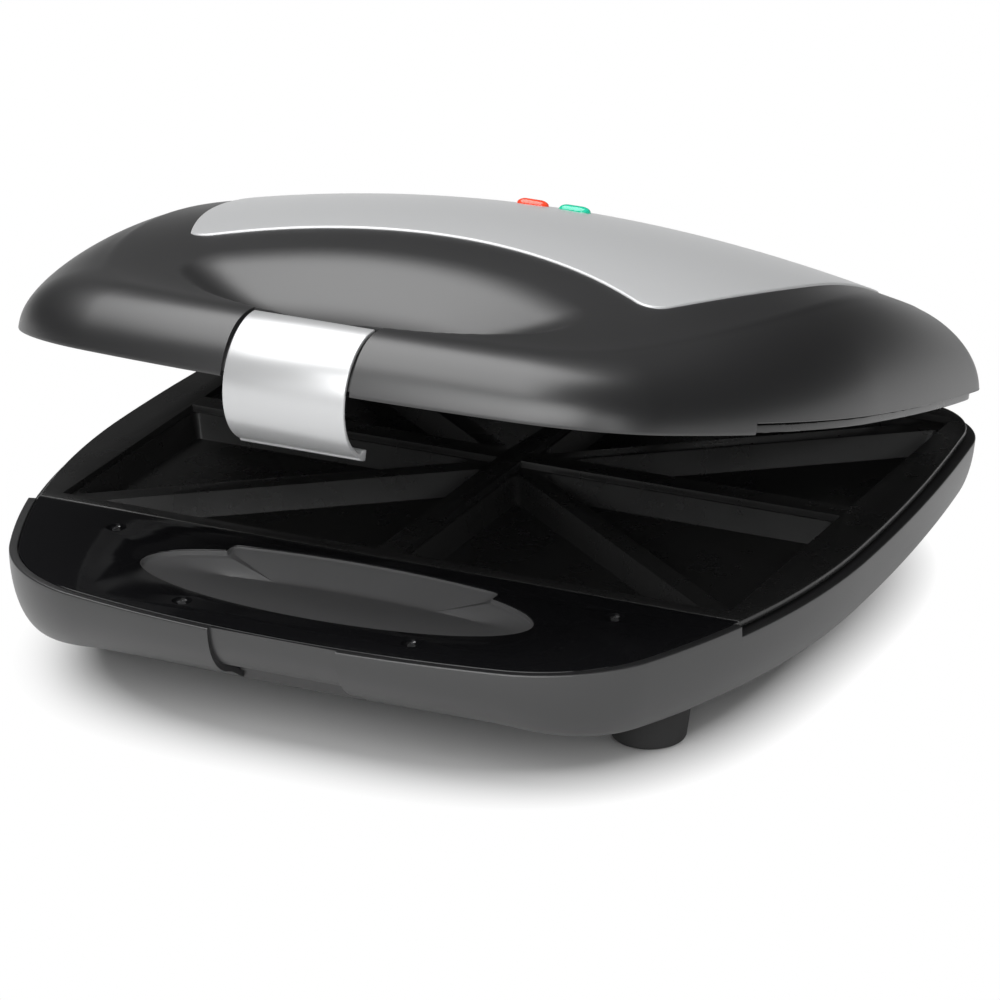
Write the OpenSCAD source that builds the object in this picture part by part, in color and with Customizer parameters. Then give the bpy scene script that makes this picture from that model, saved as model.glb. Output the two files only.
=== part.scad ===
// Sandwich toaster for four sandwiches: a base with a cooking plate, a domed lid hinged at the back
// and a sprung clip at the front. The lid rests ajar.
//
// Frame: the origin is on the table, under the middle of the footprint. +X is right, +Y goes to the
// hinges, +Z is up. The modules work in the deck frame instead: z = 0 is the deck, the level where
// base and lid meet, and y = 0 is the seam between the front panel and the cooking plate.
// base_place() and lid_place() carry a module from the deck frame to its place.

/* [Casing] */
// Width across the sides at their widest
body_w = 351; // [345:1:361]
// From the seam to the front of the casing
front_d = 99.2; // [97:0.2:103]
// From the seam to the back of the casing
rear_d = 270; // [267:1:275]
// From the seam back to where the casing is widest
widest_y = 94; // [88:1:100]
// Height of the deck above the table
stand_h = 58; // [56:1:66]
// Depth of the base casing below the deck
base_deep = 34; // [33:0.5:37]
// Thickness of the casing walls
wall_t = 2.6; // [2:0.1:3]
// Thickness of the casing's edge around the front panel
rim_t = 3.6; // [3.2:0.1:3.8]
// How far the casing edge stays below the plate's flange at the sides and back
rim_drop = 4.5; // [4:0.1:5]
// Gap between the decks of base and lid when the lid is shut
deck_gap = 0.8; // [0.6:0.1:1.4]
// Radius of the rounded front of base and lid
nose_r = 26; // [25:0.5:27]
// How far the base's sides draw in at the bottom
side_in = 14; // [11:0.5:16]

/* [Outline radii] */
// Radius of the bowed front
front_r = 510; // [460:10:600]
// Radius of the front corners
corner_front_r = 68; // [60:1:74]
// Radius of the sides ahead of the widest place
side_front_r = 350; // [335:5:370]
// Radius of the sides behind the widest place
side_rear_r = 1060; // [950:10:1200]
// Radius of the rear corners
corner_rear_r = 36; // [34:1:40]
// Radius of the slightly bowed back
rear_r = 3000; // [2000:100:5000]

/* [Lid dome] */
// Height of the crown above the deck
dome_h = 62.8; // [61.5:0.1:66]
// From the seam back to the crown
dome_y = 124.6; // [118:0.1:130]
// Fall of the dome 100 mm to the side of the crown
dome_fall_x = 8.1; // [7.5:0.1:9]
// Fall of the dome 100 mm ahead of or behind the crown
dome_fall_y = 12.6; // [11.8:0.1:13]
// What the dome regains where both distances are 100 mm
dome_fill = 1.1; // [0.8:0.1:1.6]
// Width of the round shoulder at the sides and back
shoulder = 38; // [34:1:42]
// Fullness of the shoulder, where 2 is an ellipse
shoulder_pow = 2.2; // [1.9:0.02:2.3]

/* [Grip scoop in the lid] */
// Half length of the scoop
scoop_half = 92; // [84:1:96]
// From the front of the casing to the scoop's lip
scoop_lip = 22.2; // [21:0.2:24]
// Radius of the lip, seen from above
scoop_lip_r = 100; // [98:1:110]
// Radius of the scoop's rear edge, seen from above
scoop_rear_r = 180; // [170:2:200]
// Steepness of the slope behind the lip
scoop_fall = 0.65; // [0.5:0.05:0.75]
// Steepness of the scoop's rear wall
scoop_rise = 0.35; // [0.3:0.05:0.45]
// Greatest depth of the scoop
scoop_deep = 14; // [10:0.5:15]

/* [Lid insert] */
// Half width of the metal insert
insert_half = 129; // [127:1:131]
// From the seam to the middle of the insert's front edge
insert_front = 42; // [39:1:45]
// Radius of the hollow front edge
insert_front_r = 196; // [186:2:220]
// From the seam to the insert's widest place
insert_widest = 125; // [120:1:131]
// From the seam to the insert's back edge
insert_rear = 232; // [226:1:234]
// Radius of the insert's sides ahead of the widest place
insert_side_r = 260; // [250:2:290]
// Radius of the insert's front corners
insert_corner_r = 9; // [7:0.5:11]
// Radius of the insert's rear corners
insert_rear_corner_r = 26; // [22:1:30]
// Thickness of the insert
insert_t = 1.8; // [1.4:0.1:2.2]
// How far the insert stands proud of the dome
insert_proud = 0.7; // [0.4:0.1:1]
// Half length of a lamp lens
lens_half = 7.2; // [6:0.2:7.6]
// Half width of a lamp lens
lens_half_w = 3.4; // [2.8:0.2:4]
// How far a lens stands proud of the insert
lens_rise = 2.4; // [1:0.2:3]
// From the middle to the centre of each lens
lens_x = 9.7; // [9.2:0.1:11]
// From the seam to the lenses
lens_y = 144.7; // [138:0.1:150]

/* [Front panel] */
// Thickness of the gloss panel
panel_t = 2; // [1.6:0.1:2.4]
// Distance of the panel's edge from the casing's outside
panel_in = 4; // [3.9:0.1:4.4]
// Half length of the finger recess
recess_half = 87; // [80:1:90]
// Half width of the finger recess
recess_half_w = 29.6; // [27:0.2:31]
// From the seam forward to the middle of the recess
recess_y = 42; // [40:0.5:43]
// Half length of the deeper pocket behind it
pocket_half = 60; // [54:1:64]
// From the seam forward to the pocket's rear edge
pocket_y = 9; // [8:0.5:11]
// Depth of the recess
recess_deep = 9; // [7:0.5:10]
// Wall of the recess tray
tray_t = 2; // [1.6:0.1:2.4]
// From the casing's widest place in to the outer panel screws
screw_out_side = 63.1; // [59.5:0.2:67.5]
// From the seam forward to the outer panel screws
screw_out_y = 17.8; // [15:0.2:20]
// Sideways distance of the inner panel screws
screw_in_x = 51; // [48:0.5:54]
// From the seam forward to the inner panel screws
screw_in_y = 76.5; // [75.5:0.5:77.5]

/* [Cooking plates] */
// From the casing's widest place in to the field of wells
field_side = 24.5; // [24.5:0.5:29.5]
// From the seam to the field
field_front = 7; // [6:0.5:9]
// Length of the field
field_len = 243; // [236:1:244]
// Depth of the wells
well_deep = 13; // [11:0.5:14]
// Width of the walls between the four wells
divider_w = 11; // [8:0.5:14]
// Width of the ridge that presses each sandwich into triangles
ridge_w = 7; // [5:0.5:9]
// Depth of the ridge's crest below the deck
ridge_deep = 3; // [2:0.5:4]
// How far a well's walls lean in
well_lean = 5; // [3:0.5:6]
// Thickness of the plate's flange
flange_t = 3.5; // [3:0.1:4]
// Thickness of the wells' walls
plate_t = 3; // [2.4:0.1:3.4]
// Distance of the flange's edge from the casing's outside
flange_in = 4.2; // [3.8:0.1:4.6]

/* [Heating] */
// Radius of the tubular heating elements
element_r = 3.3; // [3:0.1:3.6]
// Half width of the heater loop
loop_half = 78; // [70:1:84]
// Radius of the heater's bends
loop_r = 24; // [20:1:28]
// Thickness of the heat shields
shield_t = 0.8; // [0.6:0.1:1.2]

/* [Hinge] */
// From the seam back to the hinge axis
hinge_y = 285; // [283:0.5:288]
// How far the lid rests open, in degrees
ajar = 15.3; // [14:0.1:17]
// Outer radius of the hinge knuckles
knuckle_r = 9; // [8:0.5:10]
// Radius of the hinge pins
pin_r = 3; // [2.5:0.1:3.5]
// From the casing's widest place in to the middle of each hinge
hinge_side = 63.5; // [61.5:1:69.5]
// Width of the lid's knuckle
lid_knuckle_w = 15; // [12:1:18]
// Width of each knuckle of the base
base_knuckle_w = 12; // [10:1:13]

/* [Clip] */
// Half width of the clip
clip_half = 26.5; // [24:0.5:28]
// Thickness of the clip's curved plate
clip_t = 1.8; // [1.4:0.1:2]
// Gap beside the clip in its channel
clip_side_gap = 1.7; // [1.2:0.1:2.2]
// Radius of the clip's pivot pin
clip_pin_r = 1.5; // [1.2:0.1:1.8]

/* [Feet] */
// Radius of a foot at the bottom
foot_r = 15; // [13:0.5:16]
// Radius of a foot at the top
foot_top_r = 18; // [17:0.5:20]
// From the casing's widest place in to the middle of the feet
foot_side = 55.2; // [52.5:0.1:59.5]
// From the seam back to the front feet
foot_front_y = -1; // [-4:1:4]
// From the seam back to the rear feet
foot_rear_y = 228; // [222:1:234]
// Thickness of the rubber pads' part below the feet
pad_h = 1.5; // [1:0.1:2]

/* [Hidden] */

// Facets: round things, and the points of each stretch of the half outline
$fn = 48;
arc_n = [5, 7, 5, 4, 5, 2];

// Small clearances
fit = 0.05;          // a pin or screw in its own bore
seat_gap = 0.3;      // around a piece that drops into another
swing_gap = 0.4;     // between knuckles that turn past each other

mid_y = (hinge_y + knuckle_r - front_d) / 2;
half_w = body_w / 2;
field_half = half_w - field_side;
screw_out_x = half_w - screw_out_side;
hinge_x = half_w - hinge_side;
foot_x = half_w - foot_side;
seam_back = 4;       // the casing's edge is high for this far less than the front panel's depth
front_fade = half_w - 25.5;                      // half width over which the front's form fades out

// Which way the base's lower edge curls: half angles of the rolled wall
front_roll = 72;
side_roll = 75;
floor_in_front = 34;
floor_in_side = 19;
ledge_in = 8;
ledge_deep = panel_t + fit;
inner_floor = wall_t - base_deep;

blend = 10;          // softness of the scoop's bottom
rear_blend = 8;      // and of its rear edge
deep_blend = 4;      // how softly it levels out at its greatest depth
crown_blend = 18;    // how softly the dome meets the height of the nose
bunch = 1.3;         // how the middle rings crowd towards the insert's edge
inner_in = 30;       // inset at which the lid's rings leave the outline's offset
lid_rim = [0, 1, 3.5, 8, 14, 21];
bridge_n = 8;        // rings from there to the insert
middle_n = 4;        // rings inside the insert
insert_seat = insert_t - insert_proud + 0.25;

cup_deep = well_deep + plate_t;
element_z = -cup_deep - element_r - fit;
shield_z = element_z - element_r - 2.2;
boss_r = 4.5;
screw_r = 1.6;
head_r = 4;
head_t = 1.2;
screw_bore_r = screw_r + fit;
plate_screw_r = 2;
plate_boss_r = 5.5;
plate_head_r = 3.6;
plate_head_t = 2.8;
plate_sink_r = 3.8;
plate_screw_x = 52;
screw_len = 14;
bore_len = 18;
vent_w = 3;          // vents in the base's floor
vent_len = 46;
vent_y = 40;
vent_step = 12;
spigot_r = 5;        // the foot's spigot in the floor
pad_r = 9;
plate_screw_y = [field_front + field_len / 4, field_front + field_len * 3 / 4];

nose_y = nose_r - front_d;                       // the nose's own axis, along X
clip_r = nose_r - clip_t;                        // inside of the clip
channel_r = clip_r - 0.7;                        // floor of the channel that the clip lies in
channel_half = clip_half + clip_side_gap;
carrier_back = 1.2;                              // the carrier ends this far ahead of the nose's axis
clip_top = 80;
clip_bottom = -78;
clip_pivot = [nose_y - 5.5, nose_r - 6.4];
clip_lug_r = 3;
clip_lug_x = 19;
clip_lug_w = 4;
catch_low = -19.5;                               // underside that the clip's hook grips
catch_t = 3;
catch_back = 5.5;                                // from the nose's axis back to the catch's rear
catch_foot = -28;
catch_r = 14;                                    // inside of its curved front
hook_in = 1.8;                                   // how far the hook reaches in from the clip
hook_out = 0.9;
hook_turn = 13;                                  // length of the hook, in degrees of the curve

lead_r = 2.6;
lead_x = 10;
lead_boss = 14;
inlet_x = 62;
inlet_z = -18;
inlet_r = 3.6;
inlet_body_r = 6;
inlet_rim_r = 8;
inlet_rim_t = 2.4;
inlet_in = 12;

// ------------------------------------------------ outline

function unit(a) = [cos(a), sin(a)];
function angle_of(v) = atan2(v[1], v[0]);
// Where two circles cross; side picks one of the two places
function cross_of(c0, r0, c1, r1, side) =
    let(d = norm(c1 - c0), a = (r0 * r0 - r1 * r1 + d * d) / (2 * d), h = sqrt(max(r0 * r0 - a * a, 0)),
        u = (c1 - c0) / d)
    c0 + u * a + [-u[1], u[0]] * h * side;
// Points of one arc as [place, outward normal]; bulge is -1 where the arc is hollow
function arc(c, r, a0, a1, n, bulge = 1) =
    [for (i = [0 : n - 1]) let(u = unit(a0 + (a1 - a0) * i / n)) [c + u * r, u * bulge]];
function flip(v) = [-v[0], v[1]];
function mirrored(half) =
    concat(half, [for (i = [len(half) - 2 : -1 : 1]) [flip(half[i][0]), flip(half[i][1])]]);

c_front = [0, front_r - front_d];
c_side = [half_w - side_front_r, widest_y];
c_side2 = [half_w - side_rear_r, widest_y];
c_rear = [0, rear_d - rear_r];
c_corner = cross_of(c_front, front_r - corner_front_r, c_side, side_front_r - corner_front_r, 1);
c_corner2 = cross_of(c_rear, rear_r - corner_rear_r, c_side2, side_rear_r - corner_rear_r, -1);
casing_half = concat(
    arc(c_front, front_r, -90, angle_of(c_corner - c_front), arc_n[0]),
    arc(c_corner, corner_front_r, angle_of(c_corner - c_front), angle_of(c_corner - c_side), arc_n[1]),
    arc(c_side, side_front_r, angle_of(c_corner - c_side), 0, arc_n[2]),
    arc(c_side2, side_rear_r, 0, angle_of(c_corner2 - c_side2), arc_n[3]),
    arc(c_corner2, corner_rear_r, angle_of(c_corner2 - c_side2), angle_of(c_corner2 - c_rear), arc_n[4]),
    arc(c_rear, rear_r, angle_of(c_corner2 - c_rear), 90, arc_n[5]),
    [[[0, rear_d], [0, 1]]]);
casing_line = mirrored(casing_half);

i_front = [0, insert_front - insert_front_r];
i_side = [insert_half - insert_side_r, insert_widest];
i_side2 = [insert_half - side_rear_r, insert_widest];
i_rear = [0, insert_rear - rear_r];
i_corner = cross_of(i_front, insert_front_r + insert_corner_r, i_side, insert_side_r - insert_corner_r, -1);
i_corner2 = cross_of(i_rear, rear_r - insert_rear_corner_r, i_side2, side_rear_r - insert_rear_corner_r, -1);
insert_half_line = concat(
    arc(i_front, insert_front_r, 90, angle_of(i_corner - i_front), arc_n[0], -1),
    arc(i_corner, insert_corner_r, angle_of(i_front - i_corner), angle_of(i_corner - i_side), arc_n[1]),
    arc(i_side, insert_side_r, angle_of(i_corner - i_side), 0, arc_n[2]),
    arc(i_side2, side_rear_r, 0, angle_of(i_corner2 - i_side2), arc_n[3]),
    arc(i_corner2, insert_rear_corner_r, angle_of(i_corner2 - i_side2), angle_of(i_corner2 - i_rear), arc_n[4]),
    arc(i_rear, rear_r, angle_of(i_corner2 - i_rear), 90, arc_n[5]),
    [[[0, insert_rear], [0, 1]]]);
insert_line = mirrored(insert_half_line);

function offset_line(line, inset) = [for (p = line) p[0] - p[1] * inset];

// ------------------------------------------------ lofts

function flat(list) = [for (part = list) for (item = part) item];
// A strip of triangles from ring b up to ring a; turned picks the other diagonal of each pair
function face_strip(a, b, n, turned) = [for (i = [0 : n - 1]) let(j = (i + 1) % n)
    each turned ? [[a + i, b + j, b + i], [a + i, a + j, b + j]] : [[a + i, a + j, b + i], [a + j, b + j, b + i]]];
// A closed solid through rings of n points that run from the bottom's middle, out, up and back to the top's middle
module loft(rings, turned = false) {
    n = len(rings[0]);
    last = len(rings) - 1;
    ends = [for (r = [rings[0], rings[last]])
        [for (a = [0 : 2]) let(v = [for (p = r) p[a]]) v * [for (i = v) 1] / n]];
    polyhedron(
        points = concat(flat(rings), ends),
        faces = concat(
            [for (i = [0 : n - 1]) [i, (i + 1) % n, n * (last + 1)]],
            flat([for (k = [0 : last - 1]) face_strip(k * n + n, k * n, n, turned)]),
            [for (i = [0 : n - 1]) [last * n + (i + 1) % n, last * n + i, n * (last + 1) + 1]]));
}
function lift(points, z) = [for (p = points) [p[0], p[1], z]];

// How much a place on the outline belongs to the front, and to the back
function front_part(p) = pow(max(0, -p[1][1]), 2) * max(0, 1 - pow(p[0][0] / front_fade, 2));

// ------------------------------------------------ lid surface

function soft_max(a, b, k) = let(h = max(k - abs(a - b), 0) / k) max(a, b) + h * h * k / 4;
function soft_min(a, b, k) = -soft_max(-a, -b, k);
function dome(q) = let(u = pow(q[0] / 100, 2), v = pow((q[1] - dome_y) / 100, 2))
    dome_h - dome_fall_x * u - dome_fall_y * v + dome_fill * u * v;
function shoulder_of(p) = shoulder + (nose_r - shoulder) * front_part(p);
c_lip = [0, scoop_lip - front_d + scoop_lip_r];
// The rear edge's circle goes through the lip's two ends
lip_end = [scoop_half, c_lip[1] - sqrt(scoop_lip_r * scoop_lip_r - scoop_half * scoop_half)];
c_scoop_rear = [0, lip_end[1] - sqrt(scoop_rear_r * scoop_rear_r - scoop_half * scoop_half)];
function scoop(q) =
    let(a = scoop_lip_r - norm(q - c_lip), b = scoop_rear_r - norm(q - c_scoop_rear))
    let(valley = soft_min(scoop_fall * a, scoop_rise * soft_max(b, 0, rear_blend), blend))
    max(0, soft_min(valley, scoop_deep, deep_blend));
function lid_z(p, q, inset) =
    let(u = max(0, 1 - inset / shoulder_of(p)))
    soft_max(dome(q), nose_r, crown_blend) * pow(1 - pow(u, shoulder_pow), 1 / shoulder_pow) - scoop(q);

// The way in from the casing's edge at outline point k, as [place, inset] steps
function spoke(k) =
    let(p = casing_line[k], start = p[0] - p[1] * inner_in,
        end = insert_line[k][0] + insert_line[k][1] * seat_gap)
    concat(
        [for (i = lid_rim) [p[0] - p[1] * i, i]],
        [for (j = [0 : bridge_n]) let(q = start + (end - start) * j / bridge_n) [q, inner_in + norm(q - start)]]);
middle = [0, dome_y];
function middle_spoke(k, inset, from, n) =
    let(end = insert_line[k][0] + insert_line[k][1] * inset)
    [for (j = [from : n - 1]) end + (middle - end) * (1 - pow(1 - j / n, bunch))];
function lid_height(k, step) = lid_z(casing_line[k], step[0], step[1]);
function skin(k) = [for (s = spoke(k)) [s[0][0], s[0][1], max(lid_height(k, s), 0)]];
// The same way in, one wall further in
function inner_skin(k) =
    let(s = skin(k), n = len(s))
    [for (j = [0 : n - 1])
        let(a = s[max(j - 1, 0)], b = s[min(j + 1, n - 1)], d = b - a, run = norm([d[0], d[1]]),
            dir = [d[0], d[1]] / run, slope = atan2(d[2], run))
        j == 0 ? [s[0][0] + dir[0] * wall_t, s[0][1] + dir[1] * wall_t, 0]
            : [s[j][0] + dir[0] * wall_t * sin(slope), s[j][1] + dir[1] * wall_t * sin(slope),
                max(s[j][2] - wall_t * cos(slope), 0)]];

// ------------------------------------------------ placing

module base_place() { translate([0, -mid_y, stand_h]) children(); }
module lid_place() {
    base_place() translate([0, hinge_y, 0]) rotate([-ajar, 0, 0]) translate([0, -hinge_y, deck_gap]) children();
}
// The lid's panel and plates are the base's, turned upside down
module turned() { mirror([0, 0, 1]) children(); }
module sides() { children(); mirror([1, 0, 0]) children(); }
module along_x(r, x0, x1) { translate([x0, 0, 0]) rotate([0, 90, 0]) cylinder(r = r, h = x1 - x0); }
module along_y(r, y0, y1) { translate([0, y0, 0]) rotate([-90, 0, 0]) cylinder(r = r, h = y1 - y0); }
// A round rod from a to b, and a wire through several points
module rod(a, b, r) {
    d = b - a;
    translate(a) rotate([0, acos(d[2] / norm(d)), atan2(d[1], d[0])]) cylinder(r = r, h = norm(d));
}
// the ball of an elbow, turned so that both rods meet it on its equator, away from its seam
module elbow(before, at, after, r) {
    come = (at - before) / norm(at - before);
    leave = (after - at) / norm(after - at);
    x = (come - leave) / norm(come - leave);
    z = cross(come, leave) / norm(cross(come, leave));
    y = cross(z, x);
    multmatrix([[x[0], y[0], z[0], at[0]], [x[1], y[1], z[1], at[1]], [x[2], y[2], z[2], at[2]]]) sphere(r = r);
}

module wire(points, r) {
    last = len(points) - 1;
    for (i = [1 : last]) {
        along = (points[i] - points[i - 1]) / norm(points[i] - points[i - 1]) * 0.8;
        rod(points[i - 1] + (i > 1 ? 1 : 0) * along, points[i] - (i < last ? 1 : 0) * along, r);
    }
    for (i = [1 : last - 1]) elbow(points[i - 1], points[i], points[i + 1], r + 0.4);
}
// A stretch of a ring around the nose's axis; the angles go up from the front
module nose_ring(r0, r1, a0, a1, half) {
    translate([0, nose_y, 0]) rotate([0, 90, 0]) rotate([0, 0, -90 - a1]) translate([0, 0, -half])
        rotate_extrude(angle = a1 - a0) translate([r0, 0]) square([r1 - r0, 2 * half]);
}
// Two round ends joined by straight sides
module slot_prism(half, r, h) {
    for (s = [-1, 1]) translate([s * (half - r), 0, 0]) cylinder(r = r, h = h);
    translate([r - half, -r, 0]) cube([2 * (half - r), 2 * r, h]);
}

// ------------------------------------------------ base

function roll_turn(p) = side_roll + (front_roll - side_roll) * front_part(p);
function base_roll(p, f) =
    let(w = front_part(p), a = side_in + (nose_r - side_in) * w,
        h = base_deep + (nose_r - base_deep) * w, t = f * roll_turn(p))
    [a * (1 - cos(t)), -h * sin(t)];
function floor_in(p) = floor_in_side + (floor_in_front - floor_in_side) * front_part(p);
function at_inset(p, inset, z) = let(q = p[0] - p[1] * inset) [q[0], q[1], z];
roll_steps = [1, 0.75, 0.5, 0.25, 0];
function base_rings() = concat(
    [[for (p = casing_line) at_inset(p, floor_in(p), -base_deep)]],
    [for (f = roll_steps) [for (p = casing_line) let(s = base_roll(p, f)) at_inset(p, s[0], s[1])]],
    [for (s = [[rim_t, 0], [rim_t, -ledge_deep], [ledge_in, -ledge_deep], [ledge_in, -rim_drop - 1]])
        [for (p = casing_line) at_inset(p, s[0], s[1])]],
    [for (f = [0.5, 0.75, 1]) [for (p = casing_line) let(s = base_roll(p, f), t = f * roll_turn(p))
        at_inset(p, s[0] + wall_t * cos(t), max(s[1] + wall_t * sin(t), inner_floor))]],
    [[for (p = casing_line) at_inset(p, floor_in(p) + wall_t / 2, inner_floor)]]);

module foot_places() {
    sides() for (y = [foot_front_y, foot_rear_y]) translate([foot_x, y, 0]) children();
}
module panel_screw_places() {
    sides() {
        translate([screw_out_x, -screw_out_y, 0]) children();
        translate([screw_in_x, -screw_in_y, 0]) children();
    }
}
module plate_screw_places() { sides() for (y = plate_screw_y) translate([plate_screw_x, y, 0]) children(); }
hinge_half = lid_knuckle_w / 2 + swing_gap + base_knuckle_w;
// How far the bowed back is in from its middle at the hinge's inner end
hinge_bow = rear_r - sqrt(rear_r * rear_r - pow(hinge_x - hinge_half, 2));
module base_knuckle_places() {
    sides() for (s = [-1, 1])
        translate([hinge_x + s * (lid_knuckle_w / 2 + swing_gap + base_knuckle_w / 2), hinge_y, 0]) children();
}
// A knuckle with its arm to the back wall; the arm is below the axis for the base, above it for the lid
module knuckle(w, r, arm, up, bow = 0) {
    along_x(r, -w / 2, w / 2);
    reach = hinge_y - rear_d + wall_t + 1 + bow;
    translate([-w / 2, -reach, up ? 0 : -arm]) cube([w, reach, arm]);
}
lead_z = 15;
lead_back = 27;
module lead_path(r, side, up, start) {
    translate([0, hinge_y, 0]) {
        along_x(r, side > 0 ? start : -lead_x, side > 0 ? lead_x : -start);
        translate([side * lead_x, 0, 0]) sphere(r = r);
        rod([side * lead_x, 0, 0], [side * lead_x, -lead_back, up * lead_z], r);
    }
}
lead_wall = 3.6;
lead_gap = 0.5;
lead_boss_w = lead_boss - swing_gap / 2;
nose_boss_low = nose_r * sin(63);                // in the rolled wall under the boss
// Everything behind the seam and above the lowered edge
module edge_cut(z) {
    translate([-half_w - 1, -seam_back, z]) cube([body_w + 2, rear_d + 10, rim_drop + 1]);
}
// The channel in the front of a casing, from z to its top, as far as the nose's axis plus back
module channel(z, h, back) {
    translate([-channel_half, -front_d - 1, z]) cube([2 * channel_half, front_d + 1 + nose_y + back, h]);
}

module base_casing() {
    color("#4a4a4c") base_place() difference() {
        union() {
            difference() {
                loft(base_rings());
                edge_cut(-rim_drop);
                channel(-base_deep - 1, base_deep + 2, catch_back);
                foot_places() translate([0, 0, -base_deep - 1]) cylinder(r = spigot_r + fit, h = wall_t + 2);
                translate([inlet_x, 0, inlet_z]) {
                    along_y(inlet_body_r, rear_d - inlet_in, rear_d + 1);
                    along_y(inlet_rim_r + fit, rear_d - inlet_rim_t, rear_d + 1);
                }
                for (i = [-3 : 3])
                    translate([i * vent_step - vent_w / 2, vent_y, -base_deep - 1])
                        cube([vent_w, vent_len, wall_t + 2]);
            }
            sides() {
                translate([screw_out_x, -screw_out_y, inner_floor - 1])
                    cylinder(r = boss_r, h = -inner_floor + 1 - ledge_deep);
                translate([screw_in_x, -screw_in_y, -nose_boss_low])
                    cylinder(r = boss_r, h = nose_boss_low - ledge_deep);
            }
            plate_screw_places() translate([0, 0, -base_deep + 0.5])
                cylinder(r = plate_boss_r, h = base_deep - 0.5 + shield_z - shield_t);
            base_knuckle_places() knuckle(base_knuckle_w, knuckle_r, knuckle_r, false, hinge_bow);
            translate([-lead_boss / 2 - swing_gap / 4, hinge_y, 0])
                knuckle(lead_boss_w, lead_r + lead_wall, lead_z, false);
        }
        panel_screw_places() translate([0, 0, -bore_len]) cylinder(r = screw_bore_r, h = bore_len);
        plate_screw_places() translate([0, 0, -base_deep - 1]) {
            cylinder(r = plate_screw_r + fit, h = base_deep);
            cylinder(r = plate_sink_r, h = plate_head_t + 1.2);
        }
        base_knuckle_places() along_x(pin_r + fit, -hinge_half, hinge_half);
        lead_path(lead_r + lead_gap, -1, -1, -1);
    }
}

module catch_block() {
    w = 2 * channel_half;
    color("#4a4a4c") base_place() difference() {
        union() {
            intersection() {
                nose_ring(catch_r, channel_r, -90, 0, channel_half);
                translate([-channel_half, -front_d, catch_low]) cube([w, front_d + nose_y - 0.8, -catch_low]);
            }
            translate([-channel_half, nose_y + catch_back - 17.5, catch_low]) cube([w, 17.5, catch_t]);
            translate([-channel_half, nose_y + catch_back - catch_t, catch_foot])
                cube([w, catch_t, catch_low - catch_foot]);
        }
        translate([-channel_half - 1, -front_d + panel_in - 0.4, -ledge_deep]) cube([w + 2, front_d, ledge_deep + 1]);
    }
}

module feet() {
    foot_h = stand_h - base_deep - pad_h;
    top = foot_h + wall_t + 1.5;
    color("#48484a") base_place() foot_places() translate([0, 0, -stand_h + pad_h])
        rotate_extrude() polygon([[pad_r + fit, 0], [foot_r - 2, 0], [foot_r - 0.6, 0.6], [foot_r, 2],
            [foot_top_r, foot_h], [spigot_r, foot_h], [spigot_r, top], [0, top], [0, 2], [pad_r + fit, 2]]);
}
module foot_pads() {
    color("#1c1c1c") base_place() foot_places() translate([0, 0, -stand_h]) cylinder(r = pad_r, h = pad_h + 2);
}

module deck_shape(inset, front) {
    intersection() {
        polygon(offset_line(casing_line, inset));
        translate([-half_w, front ? -front_d - 1 : seat_gap / 2])
            square([body_w, front ? front_d + 1 - seat_gap / 2 : rear_d]);
    }
}
function oval(a, b, y, n = 40) = [for (i = [0 : n - 1]) [a * sin(360 * i / n), y - b * cos(360 * i / n)]];
pocket_r = 362;
crease_half = pocket_half - 8;                   // the dish's deepest line
crease_back = 13.5;      // how far it is in front of the pocket's rear edge
dish_rim = ledge_deep + 0.35;                    // from the deck down to the foot of the wall around the dish
function pocket_edge(grow, x) = -pocket_y + grow - x * x / (2 * pocket_r);
function pocket_outline(grow) =
    let(w = pocket_half + grow)
    concat([[-w, -recess_y], [w, -recess_y]],
        [for (i = [2 : -1 : -2]) [w * i / 2, pocket_edge(grow, pocket_half * i / 2)]]);
module recess_shape(grow) {
    polygon(oval(recess_half + grow, recess_half_w + grow, -recess_y));
    polygon(pocket_outline(grow));
}
// The crease as a thin bar, at depth z
module crease(z) {
    translate([0, 0, z]) linear_extrude(0.01) polygon(concat(
        [for (i = [-2 : 2]) let(x = crease_half * i / 2) [x, pocket_edge(0, x) - crease_back - 0.05]],
        [for (i = [2 : -1 : -2]) let(x = crease_half * i / 2) [x, pocket_edge(0, x) - crease_back + 0.05]]));
}
// What the dish leaves free below its top, or that form grown by one wall
module dish(grow, rim, low, top) {
    hull() {
        translate([0, 0, -rim]) linear_extrude(rim + top)
            polygon(oval(recess_half + grow, recess_half_w + grow, -recess_y));
        crease(low);
    }
    hull() {
        translate([0, 0, top - 0.01]) linear_extrude(0.01) polygon(concat(
            [for (i = [2 : -1 : -2]) let(x = (pocket_half + grow) * i / 2) [x, pocket_edge(grow, x)]],
            [for (i = [-2 : 2]) let(x = (pocket_half + grow) * i / 2) [x, pocket_edge(0, x) - crease_back]]));
        crease(low);
    }
}

module lower_panel() { color("#060606") base_place() panel(); }
module panel() {
    difference() {
        translate([0, 0, -panel_t]) linear_extrude(panel_t) difference() {
            deck_shape(panel_in, true);
            recess_shape(0);
        }
        panel_screw_places() {
            translate([0, 0, -panel_t - 1]) cylinder(r = screw_bore_r + 0.2, h = panel_t + 2);
            translate([0, 0, -head_t - 0.2]) cylinder(r = head_r + 0.15, h = head_t + 1);
        }
    }
}

module lower_recess_tray() { color("#434345") base_place() recess_tray(); }
module recess_tray() {
    difference() {
        dish(tray_t, dish_rim + tray_t, -recess_deep - tray_t, -panel_t - fit);
        dish(0, dish_rim, -recess_deep, -panel_t - fit + 0.02);
    }
}

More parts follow.
